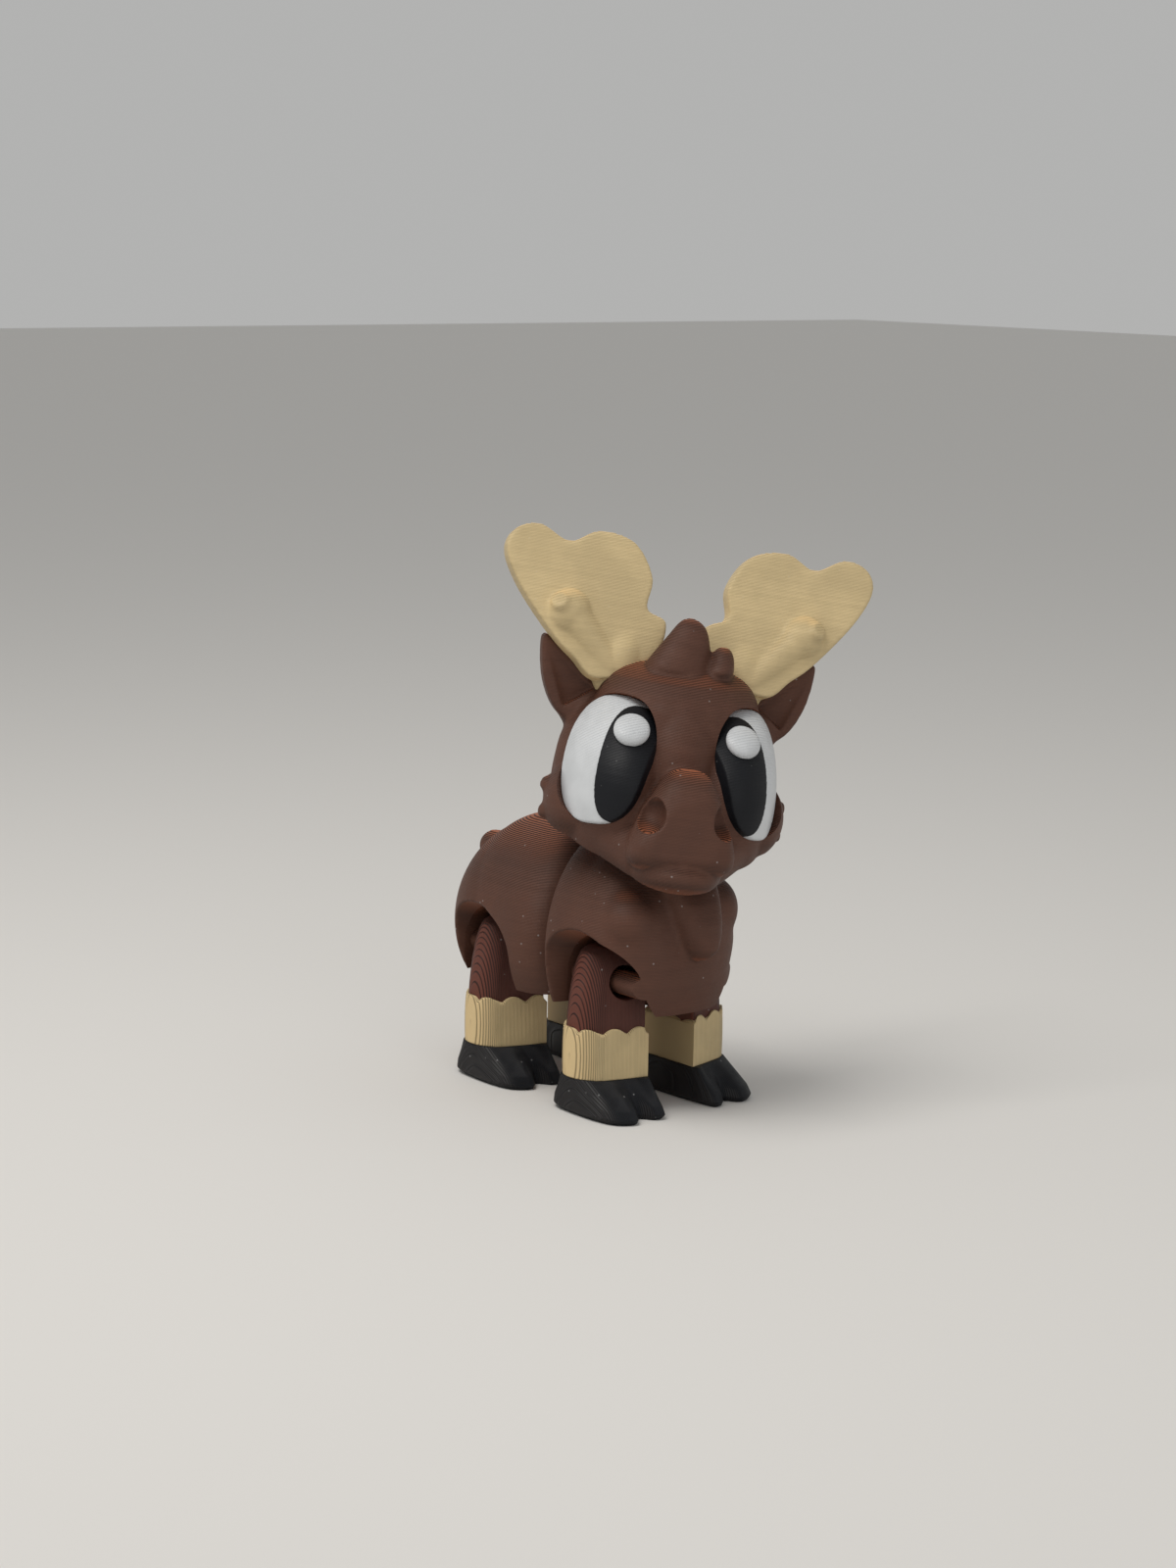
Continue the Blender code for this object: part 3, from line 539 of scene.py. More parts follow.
BODY_Z = 26.0  # height of the body's widest line
BODY_RISE = 20.0  # from there to its back
SKIN = 0.1  # the skin stands this far outside the plain solids
ARCHES = {"front": (-10.4, 6.0), "rear": (-9.6, 7.4)}  # front and back of each arch, from its leg
ARCH_ROOF = 29.4
ARCH_ROUNDNESS = 0.8  # height of an arch's round roof, to its half width
ARCH_INNER, ARCH_OUTER = 2.6, 19.0
ARCH_DEPTH = 9.0  # an arch is cut this far below the belly
SEAM_GAP, SEAM_ROOM, SEAM_RELIEF = 0.12, 0.65, 4.5  # in front of and behind the seam, and its slant in degrees
NECK_BALL, SPINE_BALL = (3.6, 5.2), (2.2, 3.6)  # radius of each bar and its ball
NECK_ROOM, SPINE_ROOM = (4.1, 5.7), (3.0, 4.1)  # and of the rooms that they sit in
NECK_LOW, NECK_HIGH, SPINE_ROOT = -9.0, 7.5, 4.0
TAIL = ((0.0, 33.0, 35.4), (0.0, 41.5, 36.2), 3.2, 2.8)


def arch_profile(front, back, roof, foot):
    """An arch seen from the side, as (y, z): upright walls and a round roof."""
    middle, half = (front + back) / 2, (back - front) / 2
    rise = half * ARCH_ROUNDNESS
    arc = [(middle + half * cos(pi * k / 24), roof - rise + rise * sin(pi * k / 24)) for k in range(25)]
    return [(back + 0.4, foot)] + arc + [(front - 0.4, foot)]


def arch_ends(row):
    """Where a row's arches begin and end."""
    leg = REAR_Y if row == "rear" else 0.0
    return [leg + end for end in ARCHES[row]]


def arch(row, side, foot, flare=None):
    """The room that a leg swings in. A flared one opens outwards, over the leg and behind it."""
    front, back = arch_ends(row)
    inner = arch_profile(front, back, ARCH_ROOF, foot)
    outer = arch_profile(front - 0.3, back + 0.3, ARCH_ROOF + 0.5, foot)
    if flare:
        inner = arch_profile(front + 2.5, back - 1.0, ARCH_ROOF - 1.5, foot)
        outer = arch_profile(front + 2.0, back + flare, ARCH_ROOF + flare, foot)
    bm = bmesh.new()
    rings = ((ARCH_INNER, inner), (PIN_X, inner), (ARCH_OUTER, outer))
    add_loft(bm, [[(x, y, z) for y, z in ring] for x, ring in rings])
    return mirrored(bm, side)


def joint_ball(start, ball, bar_radius, ball_radius):
    """A ball on a bar, spun as one turned shape."""
    a, b = Vector(start), Vector(ball)
    reach = (b - a).length
    first = asin(bar_radius / ball_radius)
    profile = [(0.0, 0.0), (bar_radius, 0.0)]
    for k in range(17):
        angle = first + (pi - first) * k / 16
        profile.append((ball_radius * sin(angle), reach - ball_radius * cos(angle)))
    bm = bmesh.new()
    verts = [bm.verts.new(mm((r, 0.0, z))) for r, z in profile]
    edges = [bm.edges.new(pair) for pair in zip(verts, verts[1:])]
    bmesh.ops.spin(
        bm, geom=verts + edges, cent=(0, 0, 0), axis=(0, 0, 1), dvec=(0, 0, 0), angle=2 * pi, steps=40,
        use_merge=True)
    bmesh.ops.remove_doubles(bm, verts=bm.verts, dist=0.01 * MM)
    turn = (b - a).to_track_quat("Z", "Y").to_matrix().to_4x4()
    bmesh.ops.transform(bm, matrix=shift(*start) @ turn, verts=bm.verts)
    return bm


def pins(row, form):
    """The pins of one row of legs, cut flush with the skin that the body has without its arches."""
    radius = bpy.context.scene.moose.body.pin_radius / MM
    front, back = arch_ends(row)
    bm = bmesh.new()
    for _, side in SIDES:
        add_bar(bm, (side * PIN_X, front - 5.0, PIN_Z), (side * PIN_X, back + 2.0, PIN_Z), radius, radius)
    obj = draft(bm, "pins")
    cut = obj.modifiers.new("flush", "BOOLEAN")
    cut.operation = "INTERSECT"
    cut.object = form
    cut.solver = "MANIFOLD"
    settle(obj)
    made = bmesh.new()
    made.from_mesh(obj.data)
    bpy.data.objects.remove(obj, do_unlink=True)
    return made


def body_half(row, bm, softness, flare, seam_cutters, extras, sockets):
    """One half of the body: its rounded form, with arches cut in and softened, then its flats, pins and joint."""
    belly = bpy.context.scene.moose.body.belly / MM
    form = fuse(draft(bm, "form"), 0.40, 3)
    half = form.copy()
    half.data = form.data.copy()
    bpy.context.scene.collection.objects.link(half)
    carve(half, [arch(row, side, belly - ARCH_DEPTH, flare) for _, side in SIDES])
    fuse(half, 0.25, softness)
    arches = [arch(row, side, belly - ARCH_DEPTH) for _, side in SIDES]
    carve(half, arches + [below(belly)] + seam_cutters)
    carve(half, [pins(row, form)] + extras, "UNION")
    if sockets:
        carve(half, sockets)
    bpy.data.objects.remove(form, do_unlink=True)
    return half


def below(belly):
    """Everything below the flat underside."""
    bm = bmesh.new()
    add_block(bm, (-40, -40, -20), (40, 60, belly))
    return bm


def neck_ball(radii):
    """The ball of the neck on its bar, or the room that it sits in."""
    return joint_ball(NECK + NECK_AXIS * NECK_LOW, NECK + NECK_AXIS * NECK_HIGH, *radii)


def spine_ball(seam, radii):
    return joint_ball((0.0, seam - SPINE_ROOT, SPINE.z), SPINE, *radii)


def add_bell(bm):
    """The flap of skin under the chin: a keel that widens upwards."""
    rings = []
    for z, half, reach in (
            (26.2, 0.8, 14.6), (26.8, 2.0, 16.0), (28.2, 3.1, 17.0), (30.2, 3.8, 17.2), (32.6, 4.4, 16.8),
            (35.5, 4.9, 15.7), (39.0, 5.2, 13.8), (43.0, 5.2, 11.0)):
        ring = []
        for turn in (2 * pi * k / 48 for k in range(48)):
            c, s = (copysign(abs(v) ** 0.7, v) for v in (cos(turn), sin(turn)))
            ring.append((half * c, -8.5 + (reach - 8.5) * s, z))
        rings.append(ring)
    add_loft(bm, rings)


def front_half():
    """The chest with its ruff and bell, rounded into the seam behind it."""
    sizes = bpy.context.scene.moose.body
    seam = sizes.seam / MM
    wide = (sizes.half_width / MM + SKIN, 12.4, BODY_RISE + SKIN)
    bm = bmesh.new()
    add_ball(bm, (0.0, -0.8, BODY_Z), wide, segments=64)
    add_ball(bm, (0.0, 4.0, BODY_Z), wide, back=seam - 3.4, segments=64, back_blunt=6.0)
    for _, side in SIDES:
        add_ball(bm, (side * 8.2, -6.0, 32.4), (5.5, 5.1, 5.8))
    torso = fuse(draft(bm), 0.5, 14)
    bm = bmesh.new()
    bm.from_mesh(torso.data)
    bpy.data.objects.remove(torso, do_unlink=True)
    add_bell(bm)
    behind = bmesh.new()
    add_block(behind, (-40, seam - SEAM_GAP, -20), (40, 80, 80))
    collar = bmesh.new()
    lean = shift(*NECK) @ Matrix.Rotation(atan2(-NECK_AXIS.y, NECK_AXIS.z), 4, "X")
    add_block(collar, (-40, -40, 0), (40, 60, 40), lean)
    balls = [neck_ball(NECK_BALL), spine_ball(seam, SPINE_BALL)]
    return body_half("front", bm, 9, 3.0, [behind, collar], balls, [])


def rear_half():
    """The hindquarters with the tail, blunt at the seam and round behind."""
    sizes = bpy.context.scene.moose.body
    seam, wide = sizes.seam / MM, sizes.half_width / MM + SKIN
    bm = bmesh.new()
    add_ball(
        bm, (0.0, seam + 14.9, BODY_Z), (wide, 14.4, BODY_RISE - 1.2), segments=72, blunt=4.6, back_blunt=2.4)
    add_ball(bm, (0.0, 28.0, BODY_Z), (wide, 13.3, BODY_RISE - 2.9), segments=64)
    add_bar(bm, *TAIL)
    add_ball(bm, TAIL[1], (TAIL[3],) * 3)
    cutters = []
    for _, side in SIDES:
        relief = bmesh.new()
        turn = shift(0.0, seam + SEAM_ROOM, 0.0) @ Matrix.Rotation(radians(side * SEAM_RELIEF), 4, "Z")
        add_block(relief, (-60, -60, -20), (60, 0, 80), turn)
        cutters.append(relief)
    return body_half("rear", bm, 14, 2.6, cutters, [], [spine_ball(seam, SPINE_ROOM)])


class MOOSE_OT_body(bpy.types.Operator):
    """Builds the two halves of the body, with the pins of the legs and the balls of the neck and spine"""
    bl_idname = "moose.body"
    bl_label = "Body"

    def execute(self, context):
        for row, make, place in (("front", front_half, FRONT), ("rear", rear_half, REAR)):
            half = terrace(make(), (0, 0, 1))
            finish_piece(half, row + "_body_skin", place, row + "_half", [row + "_body"], brown(row))
        return {"FINISHED"}


# ---------------- head

EYE_BULGE = ((8.5, 10.2, 9.6), (10.4, 20.5, 19.3), 5.0)  # the eyeball's middle, radii, and radius towards the back
EYE_CENTRE = (11.9, -2.7, 15.0)
EYE_SPLAY, EYE_LEAN = 36.0, 17.0  # degrees outwards and upwards
EYE_DEPTH, EYE_FRONT = 3.0, 14.0  # how far the eye's plates run into the head, and their cutters out of it
EYE_ROOM = 0.1  # wider than the white, all round together
WHITE_RISE, PUPIL_RISE, BEAD_RISE = 0.15, 0.45, 0.3  # above the eyeball
PUPIL_SIZE, PUPIL_PLACE, BEAD_PLACE = (8.6, 19.8), (-4.95, -0.4), (-4.6, 4.9)
BEAD_FLATNESS = 0.52


def eye_place(side):
    """The eye's own frame: Y runs into the head, X towards the ear, Z up."""
    x, y, z = EYE_CENTRE
    splay = Matrix.Rotation(radians(EYE_SPLAY) * side, 4, "Z")
    return shift(side * x, y, z) @ splay @ Matrix.Rotation(radians(-EYE_LEAN), 4, "X")


def oval(width, height, power=2.3, inner_power=2.3):
    """An oval outline, with its own fullness towards the nose."""
    points = []
    for k in range(96):
        c, s = cos(2 * pi * k / 96), sin(2 * pi * k / 96)
        full = power if c > 0 else inner_power
        stretch = (abs(c) ** full + abs(s) ** full) ** (-1 / full)
        points.append((width / 2 * c * stretch, height / 2 * s * stretch))
    return points


def eye_prism(side, outline, sideways=0.0, up=0.0):
    """A bar with the outline's section, from inside the head out past the eye's surface."""
    bm = bmesh.new()
    place = eye_place(side) @ shift(y=(EYE_DEPTH - EYE_FRONT) / 2)
    add_slab(bm, [(x + sideways * side, z + up) for x, z in outline], EYE_FRONT + EYE_DEPTH, place)
    return bm


def eye_outline(side, grow=0.0):
    """The edge of an eye's white, from in front of it."""
    sizes = bpy.context.scene.moose.eyes
    outline = oval(sizes.width / MM + grow, sizes.height / MM + grow, inner_power=2.9)
    return [(x * side, z) for x, z in outline]


def add_lock(bm, leaf):
    """A lock of hair: ovals (height, left, right, half depth) stacked to a tip."""
    rings = []
    for z, left, right, deep in leaf:
        middle, half = (left + right) / 2, (right - left) / 2
        turns = [2 * pi * k / 40 for k in range(40)]
        rings.append([(middle + half * cos(t), 0.5 + deep * sin(t), z) for t in turns])
    add_loft(bm, rings)


def add_tuft(bm):
    """Two locks of hair on top of the head."""
    add_lock(bm, [
        (26.0, -3.0, 2.0, 2.0), (29.8, -5.6, 3.0, 3.0), (30.4, -6.9, 3.4, 4.0), (31.6, -6.7, 3.4, 3.8),
        (33.0, -5.8, 3.4, 3.4), (35.0, -4.5, 3.3, 2.9), (36.5, -3.5, 2.9, 2.5), (37.8, -2.7, 2.3, 2.0),
        (38.6, -2.0, 1.4, 1.4), (39.1, -1.4, 0.6, 0.7)])
    add_lock(bm, [
        (26.0, 2.4, 5.6, 1.8), (30.2, 2.6, 6.8, 2.8), (30.9, 2.6, 7.8, 3.6), (31.9, 3.0, 7.7, 3.3),
        (33.2, 3.7, 7.6, 2.6), (34.3, 4.2, 7.2, 1.9), (35.1, 4.9, 6.5, 0.9)])


def add_ear(bm, side):
    """An ear: a leaf that stands out level with the antlers."""
    leaf = [
        (12.5, 18.6), (16.6, 19.2), (19.8, 21.4), (21.9, 25.2), (22.9, 29.4), (23.0, 33.4),
        (20.6, 32.2), (17.2, 30.0), (13.6, 27.8)]
    add_slab(bm, [(side * x, z) for x, z in smooth_loop(leaf)], 3.6, shift(y=8.4))


MUZZLE = [
    (0.0, 16.0), (2.5, 15.6), (4.2, 13.8), (5.4, 11.6), (6.9, 9.0), (8.0, 5.8), (8.8, 2.8), (8.6, 0.9), (7.0, -0.6),
    (3.2, -1.0), (0.0, -1.0)]


def add_muzzle(bm):
    """A muzzle that is narrow on top, widest at the lips, and fullest near its front."""
    rings = []
    for y, width, rise in (
            (3.0, 0.50, 0.84), (-3.0, 0.64, 0.86), (-6.0, 0.76, 0.88), (-9.0, 0.90, 0.93), (-11.5, 0.98, 0.99),
            (-13.4, 1.0, 1.0), (-15.2, 0.96, 0.94), (-16.6, 0.85, 0.80), (-17.5, 0.62, 0.56)):
        half = [(x * width, 5.0 + (z - 5.0) * rise) for x, z in MUZZLE]
        section = half + [(-x, z) for x, z in half[-2:0:-1]]
        rings.append([(x, y, z) for x, z in smooth_loop(section, 4)])
    add_loft(bm, rings)
    add_ball(bm, (0.0, -10.3, -1.1), (7.5, 7.9, 3.8))


def add_crown(bm):
    """The broad, nearly level top of the head."""
    rings = []
    for z, half, deep in (
            (14.0, 14.0, 11.5), (20.0, 14.2, 11.4), (24.0, 13.9, 10.9), (26.6, 13.1, 10.0), (28.5, 11.9, 8.8),
            (29.9, 10.2, 7.2), (30.9, 7.8, 5.4), (31.5, 5.0, 3.4), (31.8, 2.2, 1.6)):
        turns = [2 * pi * k / 64 for k in range(64)]
        rings.append([(half * cos(t), 4.0 + deep * sin(t), z) for t in turns])
    add_loft(bm, rings)


def head_form():
    """The head before anything is cut out of it."""
    bm = bmesh.new()
    add_ball(bm, (0.0, 7.0, 13.5), (18.6, 13.0, 16.8), back=12.0, segments=64)
    add_ball(bm, (0.0, 3.2, 14.2), (9.0, 12.5, 17.4), segments=48)
    add_muzzle(bm)
    add_crown(bm)
    centre, radii, back = EYE_BULGE
    for _, side in SIDES:
        around_eye = (side * centre[0], centre[1], centre[2])
        add_ball(bm, around_eye, tuple(r - 0.5 for r in radii), back=back, segments=64)
        add_ball(bm, (side * 14.2, 8.5, 22.5), (5.0, 3.2, 5.0))
        add_bar(bm, (side * 13.4, 4.4, 6.2), (side * 3.4, -9.4, 0.8), 6.0, 5.4)
        add_ball(bm, (side * 13.2, 4.0, 7.2), (7.0, 8.3, 7.4))
        add_bar(bm, (side * 15.0, 6.0, 8.6), (side * 20.7, 5.2, 9.2), 4.0, 0.9)
        add_bar(bm, (side * 15.0, 6.0, 5.0), (side * 20.6, 5.2, 4.4), 3.4, 0.9)
        add_ear(bm, side)
    add_tuft(bm)
    return bm


def head_hollows():
    """Nostrils and ear dishes, cut before the skin is softened."""
    hollows = []
    for _, side in SIDES:
        nostril = bmesh.new()
        add_ball(nostril, (side * 6.2, -15.4, 8.5), (2.5, 4.0, 3.0))
        dish = bmesh.new()
        add_bar(dish, (side * 16.4, 5.6, 23.6), (side * 22.2, 6.2, 31.4), 3.2, 0.8, flatten=0.6)
        hollows += [nostril, dish]
    return hollows


def head_skin():
    """The head's softened form, cut level below and hollowed for the neck and the eyes."""
    skin = fuse(draft(head_form()), 0.4, 6)
    carve(skin, head_hollows())
    fuse(skin, 0.23, 5)
    under = bmesh.new()
    lean = shift(z=1.6) @ Matrix.Rotation(atan(0.34), 4, "X")
    add_block(under, (-40, -40, -40), (40, 40, 0), lean)
    sockets = [eye_prism(side, eye_outline(side, EYE_ROOM)) for _, side in SIDES]
    stem = neck_ball(NECK_ROOM)
    bmesh.ops.translate(stem, vec=-NECK * MM, verts=stem.verts)
    return carve(skin, [under, stem] + sockets)


class MOOSE_OT_head(bpy.types.Operator):
    """Builds the head's skin: muzzle, cheeks, ears and the tuft between the antlers"""
    bl_idname = "moose.head"
    bl_label = "Head"

    def execute(self, context):
        skin = terrace(head_skin(), (0, 0, 1))
        finish_piece(skin, "head_skin", HEAD, "head", ["head"], brown("head"))
        return {"FINISHED"}


def eyeball(side, grow):
    centre, radii, back = EYE_BULGE
    bm = bmesh.new()
    add_ball(bm, (side * centre[0], centre[1], centre[2]), radii, back=back, segments=96, grow=grow)
    return draft(bm)


def eye_plate(side, rise, cutters, softness):
    """A rounded plate cut from the eyeball."""
    return fuse(carve(eyeball(side, rise), cutters, "INTERSECT"), 0.16, softness)


def eye_bead(side, radius, sideways, up):
    """A domed bead that sits on the pupil and faces the way that the pupil does."""
    ball = eyeball(side, BEAD_RISE)
    place = eye_place(side)
    way = (place.to_3x3() @ Vector((0.0, 1.0, 0.0))).normalized()
    _, spot, normal, _ = ball.ray_cast(place @ mm((sideways * side, -20.0, up)), way)
    bpy.data.objects.remove(ball, do_unlink=True)
    bm = bmesh.new()
    bmesh.ops.create_uvsphere(bm, u_segments=64, v_segments=48, radius=radius * MM)
    turn = normal.to_track_quat("Z", "Y").to_matrix().to_4x4()
    flat = Matrix.Diagonal((1.0, 1.0, BEAD_FLATNESS, 1.0))
    bmesh.ops.transform(bm, matrix=Matrix.Translation(spot) @ turn @ flat, verts=bm.verts)
    return draft(bm)


class MOOSE_OT_eyes(bpy.types.Operator):
    """Builds the white, pupil and highlight of each eye"""
    bl_idname = "moose.eyes"
    bl_label = "Eyes"

    def execute(self, context):
        colours = context.scene.moose.plastic
        bead = context.scene.moose.eyes.highlight / MM
        white = plastic(
            "white plastic", colours.white, HEAD, roughness=0.36, bead=0.002, riser=0.0, specks=0.2, level_highlight=0.0,
            bands=0.0)
        black = plastic(
            "black plastic, eyes", colours.black, HEAD, roughness=0.5, bead=0.006, riser=0.1, specks=0.3)
        for name, side in SIDES:
            ball = eye_plate(side, WHITE_RISE, [eye_prism(side, eye_outline(side))], 14)
            finish_piece(ball, "eye_white_skin_" + name, HEAD, "head", ["eye_white_" + name], white)
            shape = eye_prism(side, oval(*PUPIL_SIZE, power=3.0, inner_power=3.0), *PUPIL_PLACE)
            pupil = eye_plate(side, PUPIL_RISE, [shape, eye_prism(side, eye_outline(side, EYE_ROOM))], 8)
            finish_piece(pupil, "pupil_skin_" + name, HEAD, "head", ["pupil_" + name], black)
            spot = eye_bead(side, bead, *BEAD_PLACE)
            finish_piece(
                spot, "eye_highlight_skin_" + name, HEAD, "head", ["eye_highlight_" + name], white)
        return {"FINISHED"}


ANTLER = [
    (13.9, 27.0), (18.4, 30.2), (22.2, 33.5), (28.2, 40.8), (31.0, 46.6), (29.6, 50.2), (25.6, 51.2), (20.7, 49.0),
    (16.0, 51.2), (9.9, 50.0), (6.4, 44.6), (6.8, 39.4), (3.4, 37.3), (5.4, 31.0)]
ANTLER_THICKNESS, ANTLER_SLOPE = 4.0, 0.2


def antler(side):
    """A palm that leans back, with a ridge up its front to a pointed knob."""
    lean = shift(y=4.9, z=28.0) @ Matrix.Rotation(-atan(ANTLER_SLOPE), 4, "X") @ shift(z=-28.0)
    bm = bmesh.new()
    add_slab(bm, smooth_loop(ANTLER), ANTLER_THICKNESS, lean)
    add_ball(bm, (10.0, 6.3, 29.5), (4.7, 3.5, 7.0))
    add_bar(bm, (11.5, 5.4, 29.0), (20.0, 6.1, 38.0), 2.6, 3.2)
    add_ball(bm, (19.8, 6.2, 37.6), (3.9, 3.5, 3.9))
    add_bar(bm, (19.8, 6.2, 37.4), (22.0, 3.3, 39.6), 3.2, 1.4)
    return fuse(draft(mirrored(bm, side)), 0.22, 26)


class MOOSE_OT_antlers(bpy.types.Operator):
    """Builds the two palmed antlers"""
    bl_idname = "moose.antlers"
    bl_label = "Antlers"

    def execute(self, context):
        cream = plastic(
            "cream plastic, antlers", context.scene.moose.plastic.cream, HEAD, roughness=0.5, bead=0.016, riser=0.2,
            specks=0.3, level_highlight=0.2, bands=0.2)
        for name, side in SIDES:
            piece = terrace(antler(side), (0, 0, 1))
            finish_piece(piece, "antler_skin_" + name, HEAD, "head", ["antler_" + name], cream)
        return {"FINISHED"}


# ---------------- legs

LEG_INNER, LEG_OUTER, LEG_MIDDLE = 5.2, 15.2, 9.6
LEG_TOP = 5.7  # radius of the leg's round top, about its pin
HOLE = 2.8
LEG_PLAN = [
    (5.2, -6.9), (9.4, -5.7), (12.3, -4.9), (13.5, -4.2), (14.2, -3.3), (14.75, -2.2), (15.1, -1.0), (15.2, 0.2),
    (15.1, 1.2), (14.8, 2.1), (14.3, 2.9), (13.6, 3.6), (12.3, 4.2), (9.6, 4.7), (5.2, 5.4)]


def leg_outline(grow=0.0, squeeze=1.0, inner=LEG_INNER, outer=LEG_OUTER):
    """The leg in plan, evenly stepped, as (x, y, distance along it): a flat inner face, faces that lean in, and a
    round outer face."""
    scale = (outer - inner) / (LEG_OUTER - LEG_INNER)
    corners = [Vector((inner + (x - LEG_INNER) * scale, y * squeeze)) for x, y in LEG_PLAN]
    corners = [p + Vector((p.x - LEG_MIDDLE, p.y)).normalized() * grow for p in corners]
    steps = [(b - a).length for a, b in zip(corners, corners[1:] + corners[:1])]
    total, ring = sum(steps), []
    for k in range(120):
        left = total * k / 120
        for i, length in enumerate(steps):
            if left <= length:
                a, b = corners[i], corners[(i + 1) % len(corners)]
                ring.append((*(a + (b - a) * (left / length)), total * k / 120))
                break
            left -= length
    return ring


def level(outline, z):
    return [(x, y, z) for x, y, _ in outline]


def bulge(z):
    """How far the outer face reaches at a height: it is fullest low on the cuff."""
    return 15.3 - 0.0085 * (z - 9.5) ** 2


def upper_leg(side):
    """The leg down into its cuff, with a round top and the hole for its pin."""
    rings = [level(leg_outline(outer=bulge(z)), z) for z in (10.0, 13.0, 16.0, 18.5, 20.5)]
    for up in (-0.6, 0.8, 2.0, 3.1, 4.0, 4.7, 5.2, 5.5):
        reach = sqrt(LEG_TOP ** 2 - max(up, 0.0) ** 2)
        rings.append(level(leg_outline(
            squeeze=0.97 * sqrt(1 - (max(up, 0.0) / 6.3) ** 2), inner=max(LEG_INNER, PIN_X - reach),
            outer=min(bulge(PIN_Z + up), PIN_X + reach + 0.9)), PIN_Z + up))
    bm = bmesh.new()
    add_loft(bm, rings)
    leg = draft(mirrored(bm, side))
    hole = bmesh.new()
    add_bar(hole, (side * PIN_X, -12.0, PIN_Z), (side * PIN_X, 12.0, PIN_Z), HOLE, HOLE, segments=48)
    carve(fuse(leg, 0.3, 4), [hole])
    return fuse(leg, 0.17, 4)


CUFF_OUT, CUFF_IN = 0.45, -0.8  # the cuff's faces, from the leg's


def cuff(side):
    """A cup around the leg, with a scalloped edge that is straight along its inner face."""
    sizes = bpy.context.scene.moose.legs
    top, low, wave = sizes.cuff_height / MM, sizes.hoof_height / MM - 0.05, sizes.scallop / MM

    def edge(x, y, along):
        if x < 5.4:
            return (x, y, top - 1.2)
        return (x, y, top - 1.5 + 1.6 * abs(cos(pi * (along - 1.5) / wave)) ** 0.7)

    rings = [level(leg_outline(CUFF_OUT, outer=bulge(z)), z) for z in (low, 8.0, 10.0, 12.0)]
    rings += [[edge(*spot) for spot in leg_outline(grow, outer=bulge(14.0))] for grow in (CUFF_OUT, CUFF_IN)]
    rings.append(level(leg_outline(CUFF_IN), low + 1.0))
    bm = bmesh.new()
    add_loft(bm, rings)
    return fuse(draft(mirrored(bm, side)), 0.16, 2)


HOOF_RINGS = {
    6.05: [
        (5.0, -7.2), (7.4, -6.8), (9.6, -6.2), (11.8, -5.8), (13.8, -4.8),
        (14.9, -3.4), (15.5, 0.0), (14.4, 3.8), (10.0, 5.2), (5.0, 6.2)],
    4.0: [
        (4.9, -8.4), (7.3, -9.2), (9.4, -8.3), (11.8, -9.2), (14.0, -8.2),
        (15.1, -5.8), (15.8, -0.6), (14.7, 4.2), (10.0, 6.2), (4.9, 7.0)],
    2.2: [
        (4.9, -9.6), (7.2, -11.6), (9.3, -9.5), (11.6, -11.7), (14.4, -10.4),
        (15.6, -7.4), (16.0, -1.0), (14.9, 4.8), (10.0, 6.9), (4.9, 7.4)],
    0.8: [
        (4.9, -10.3), (7.0, -12.4), (9.3, -10.0), (11.6, -12.6), (14.6, -11.2),
        (15.9, -8.0), (16.1, -1.0), (15.0, 4.9), (10.0, 7.0), (4.9, 7.5)],
    0.0: [
        (5.4, -9.7), (7.1, -11.8), (9.3, -9.7), (11.6, -12.0), (14.2, -10.7),
        (15.3, -7.8), (15.4, -1.0), (14.3, 4.2), (10.0, 6.2), (5.4, 6.8)],
}


def hoof(side):
    """A cloven hoof, wider and longer towards its sole."""
    rings = []
    for z, corners in HOOF_RINGS.items():
        rings.append([(x, y, z) for x, y in smooth_loop(corners, 10)])
    bm = bmesh.new()
    add_loft(bm, rings)
    solid = fuse(draft(mirrored(bm, side)), 0.17, 4)
    sole = bmesh.new()
    add_block(sole, (-40, -40, -9), (40, 40, 0.04))
    return carve(solid, [sole])


class MOOSE_OT_legs(bpy.types.Operator):
    """Builds the upper leg, cuff and hoof of each leg"""
    bl_idname = "moose.legs"
    bl_label = "Legs"

    def execute(self, context):
        colours = context.scene.moose.plastic
        for row, name, side in LEGS:
            leg, place = "_".join((row, name)), LEG_PLACES[row]
            russet = plastic(
                "russet plastic, " + row, colours.russet, place, lying=True, riser=0.8, bead=0.045, level_highlight=0.4)
            cream = plastic(
                "cream plastic, " + row, colours.cream, place, lying=True, riser=0.5, bead=0.045, specks=0.3, level_highlight=0.1)
            black = plastic(
                "black plastic, " + row, colours.black, place, lying=True, riser=0.2, roughness=0.5, bead=0.04)
            for label, make, slot, material in (
                    ("upper_leg", upper_leg, "russet", russet), ("cuff", cuff, "cream", cream),
                    ("hoof", hoof, "black", black)):
                piece = terrace(make(side), (1, 0, 0), both=True)
                finish_piece(
                    piece, "_".join((label, "skin", leg)), place, "leg_" + leg, ["_".join((label, leg))],
                    material, sharp=50.0)
        return {"FINISHED"}


# ---------------- stage

MAIN_LIGHT, FRONT_LIGHT, FRONT_SHARE = (-0.22, 0.02, 0.55), (-0.15, -0.60, 0.35), 0.21
AIM = (0.0, 0.0, 0.05)
ROOM_COLOUR, ROOM_STRENGTH = (0.80, 0.80, 0.79), 0.56
CAMERA_ROUND, CAMERA_UP, CAMERA_TILT = -40, 10, 1  # degrees
CAMERA_FROM_STAND = (-8.93, 52.46, 541.0)  # to the right, up and back, as the camera sees it
CAMERA_LENS = 74.25


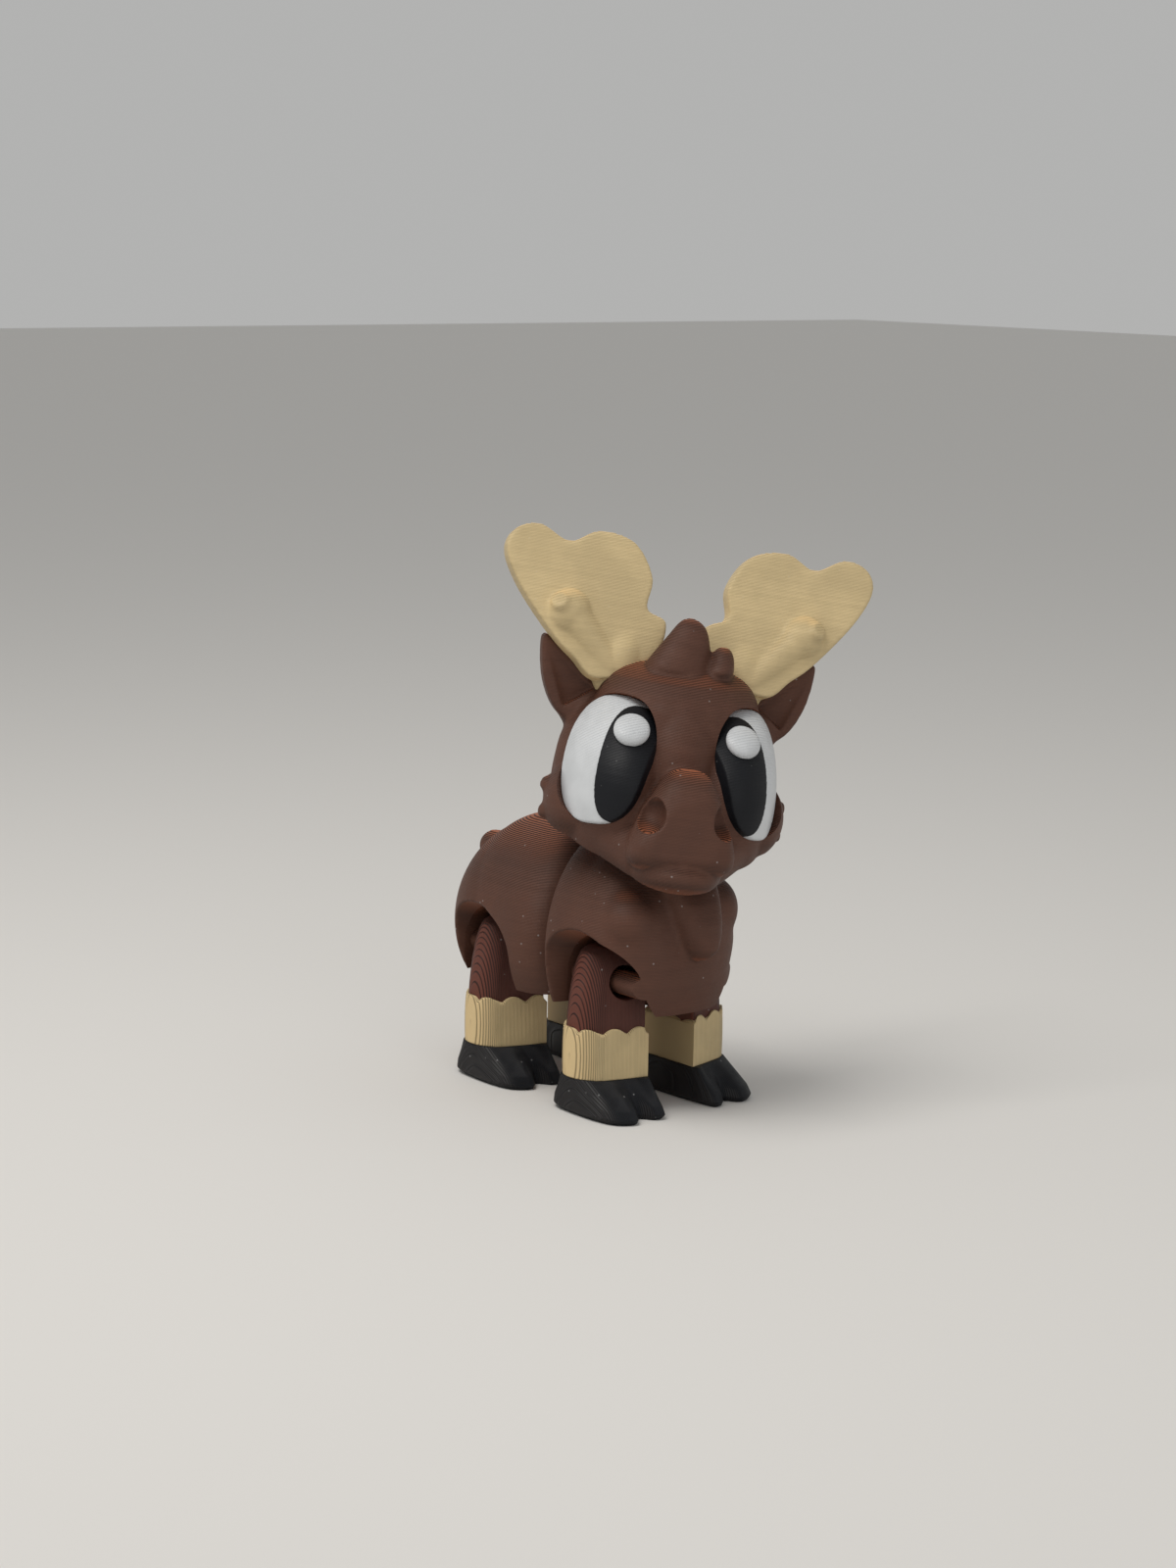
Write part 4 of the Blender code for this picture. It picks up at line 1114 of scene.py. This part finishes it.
def area_light(name, power, size, place, aim, colour=(1.0, 1.0, 1.0)):
    light = bpy.data.lights.new(name, "AREA")
    light.energy = power
    light.size = size
    light.color = colour
    obj = bpy.data.objects.new(name, light)
    bpy.context.scene.collection.objects.link(obj)
    obj.location = place
    obj.rotation_euler = (Vector(aim) - Vector(place)).to_track_quat("-Z", "Y").to_euler()


class MOOSE_OT_stage(bpy.types.Operator):
    """Adds the floor, the lights and the camera"""
    bl_idname = "moose.stage"
    bl_label = "Stage"

    def execute(self, context):
        settings = context.scene.moose.stage
        bm = bmesh.new()
        bmesh.ops.create_grid(bm, x_segments=1, y_segments=1, size=3.0)
        floor = draft(bm, "floor")
        paint = bpy.data.materials.new("pale floor")
        paint.use_nodes = True
        shader = paint.node_tree.nodes["Principled BSDF"]
        shader.inputs["Base Color"].default_value = (*settings.floor, 1.0)
        shader.inputs["Roughness"].default_value = 0.8
        floor.data.materials.append(paint)

        world = bpy.data.worlds.new("soft room")
        context.scene.world = world
        world.use_nodes = True
        world.node_tree.nodes["Background"].inputs["Color"].default_value = (*ROOM_COLOUR, 1.0)
        world.node_tree.nodes["Background"].inputs["Strength"].default_value = ROOM_STRENGTH
        area_light("main light", settings.key, 0.30, MAIN_LIGHT, AIM, (1.0, 0.97, 0.93))
        area_light("front light", settings.key * FRONT_SHARE, 0.40, FRONT_LIGHT, AIM)

        turn, rise, tilt = radians(CAMERA_ROUND), radians(CAMERA_UP), radians(CAMERA_TILT)
        back = Vector((sin(turn) * cos(rise), -cos(turn) * cos(rise), sin(rise)))
        right = Vector((cos(turn), sin(turn), 0.0))
        up = back.cross(right)
        right, up = cos(tilt) * right + sin(tilt) * up, cos(tilt) * up - sin(tilt) * right
        camera = bpy.data.cameras.new("camera")
        camera.lens, camera.sensor_width = CAMERA_LENS, 36.0
        camera.clip_start = 0.01
        eye = bpy.data.objects.new("camera", camera)
        context.scene.collection.objects.link(eye)
        place = Matrix((right, up, back)).transposed().to_4x4()
        place.translation = STAND + place.to_3x3() @ mm(CAMERA_FROM_STAND)
        eye.matrix_world = place
        context.scene.camera = eye
        context.scene.view_settings.view_transform = "Standard"
        return {"FINISHED"}


# ---------------- add-on

STEPS = (MOOSE_OT_body, MOOSE_OT_head, MOOSE_OT_eyes, MOOSE_OT_antlers, MOOSE_OT_legs, MOOSE_OT_stage)


class MOOSE_PT_panel(bpy.types.Panel):
    """Sizes, colours and steps of the toy moose"""
    bl_idname = "MOOSE_PT_panel"
    bl_label = "Printed Moose Toy"
    bl_space_type = "VIEW_3D"
    bl_region_type = "UI"
    bl_category = "Moose"

    def draw(self, context):
        settings = context.scene.moose
        for group in (settings.body, settings.eyes, settings.legs, settings.plastic, settings.stage):
            box = self.layout.box()
            for name in group.__annotations__:
                box.prop(group, name)
        for step in STEPS:
            self.layout.operator(step.bl_idname)


CLASSES = (
    MooseBodySettings, MooseEyeSettings, MooseLegSettings, MoosePrintSettings, MooseStageSettings, MooseSettings,
    *STEPS, MOOSE_PT_panel)


def register():
    for cls in CLASSES:
        bpy.utils.register_class(cls)
    bpy.types.Scene.moose = PointerProperty(type=MooseSettings)


def unregister():
    del bpy.types.Scene.moose
    for cls in reversed(CLASSES):
        bpy.utils.unregister_class(cls)


def main():
    register()
    bpy.ops.moose.body()
    bpy.ops.moose.head()
    bpy.ops.moose.eyes()
    bpy.ops.moose.antlers()
    bpy.ops.moose.legs()
    bpy.ops.moose.stage()


if __name__ == "__main__":
    main()
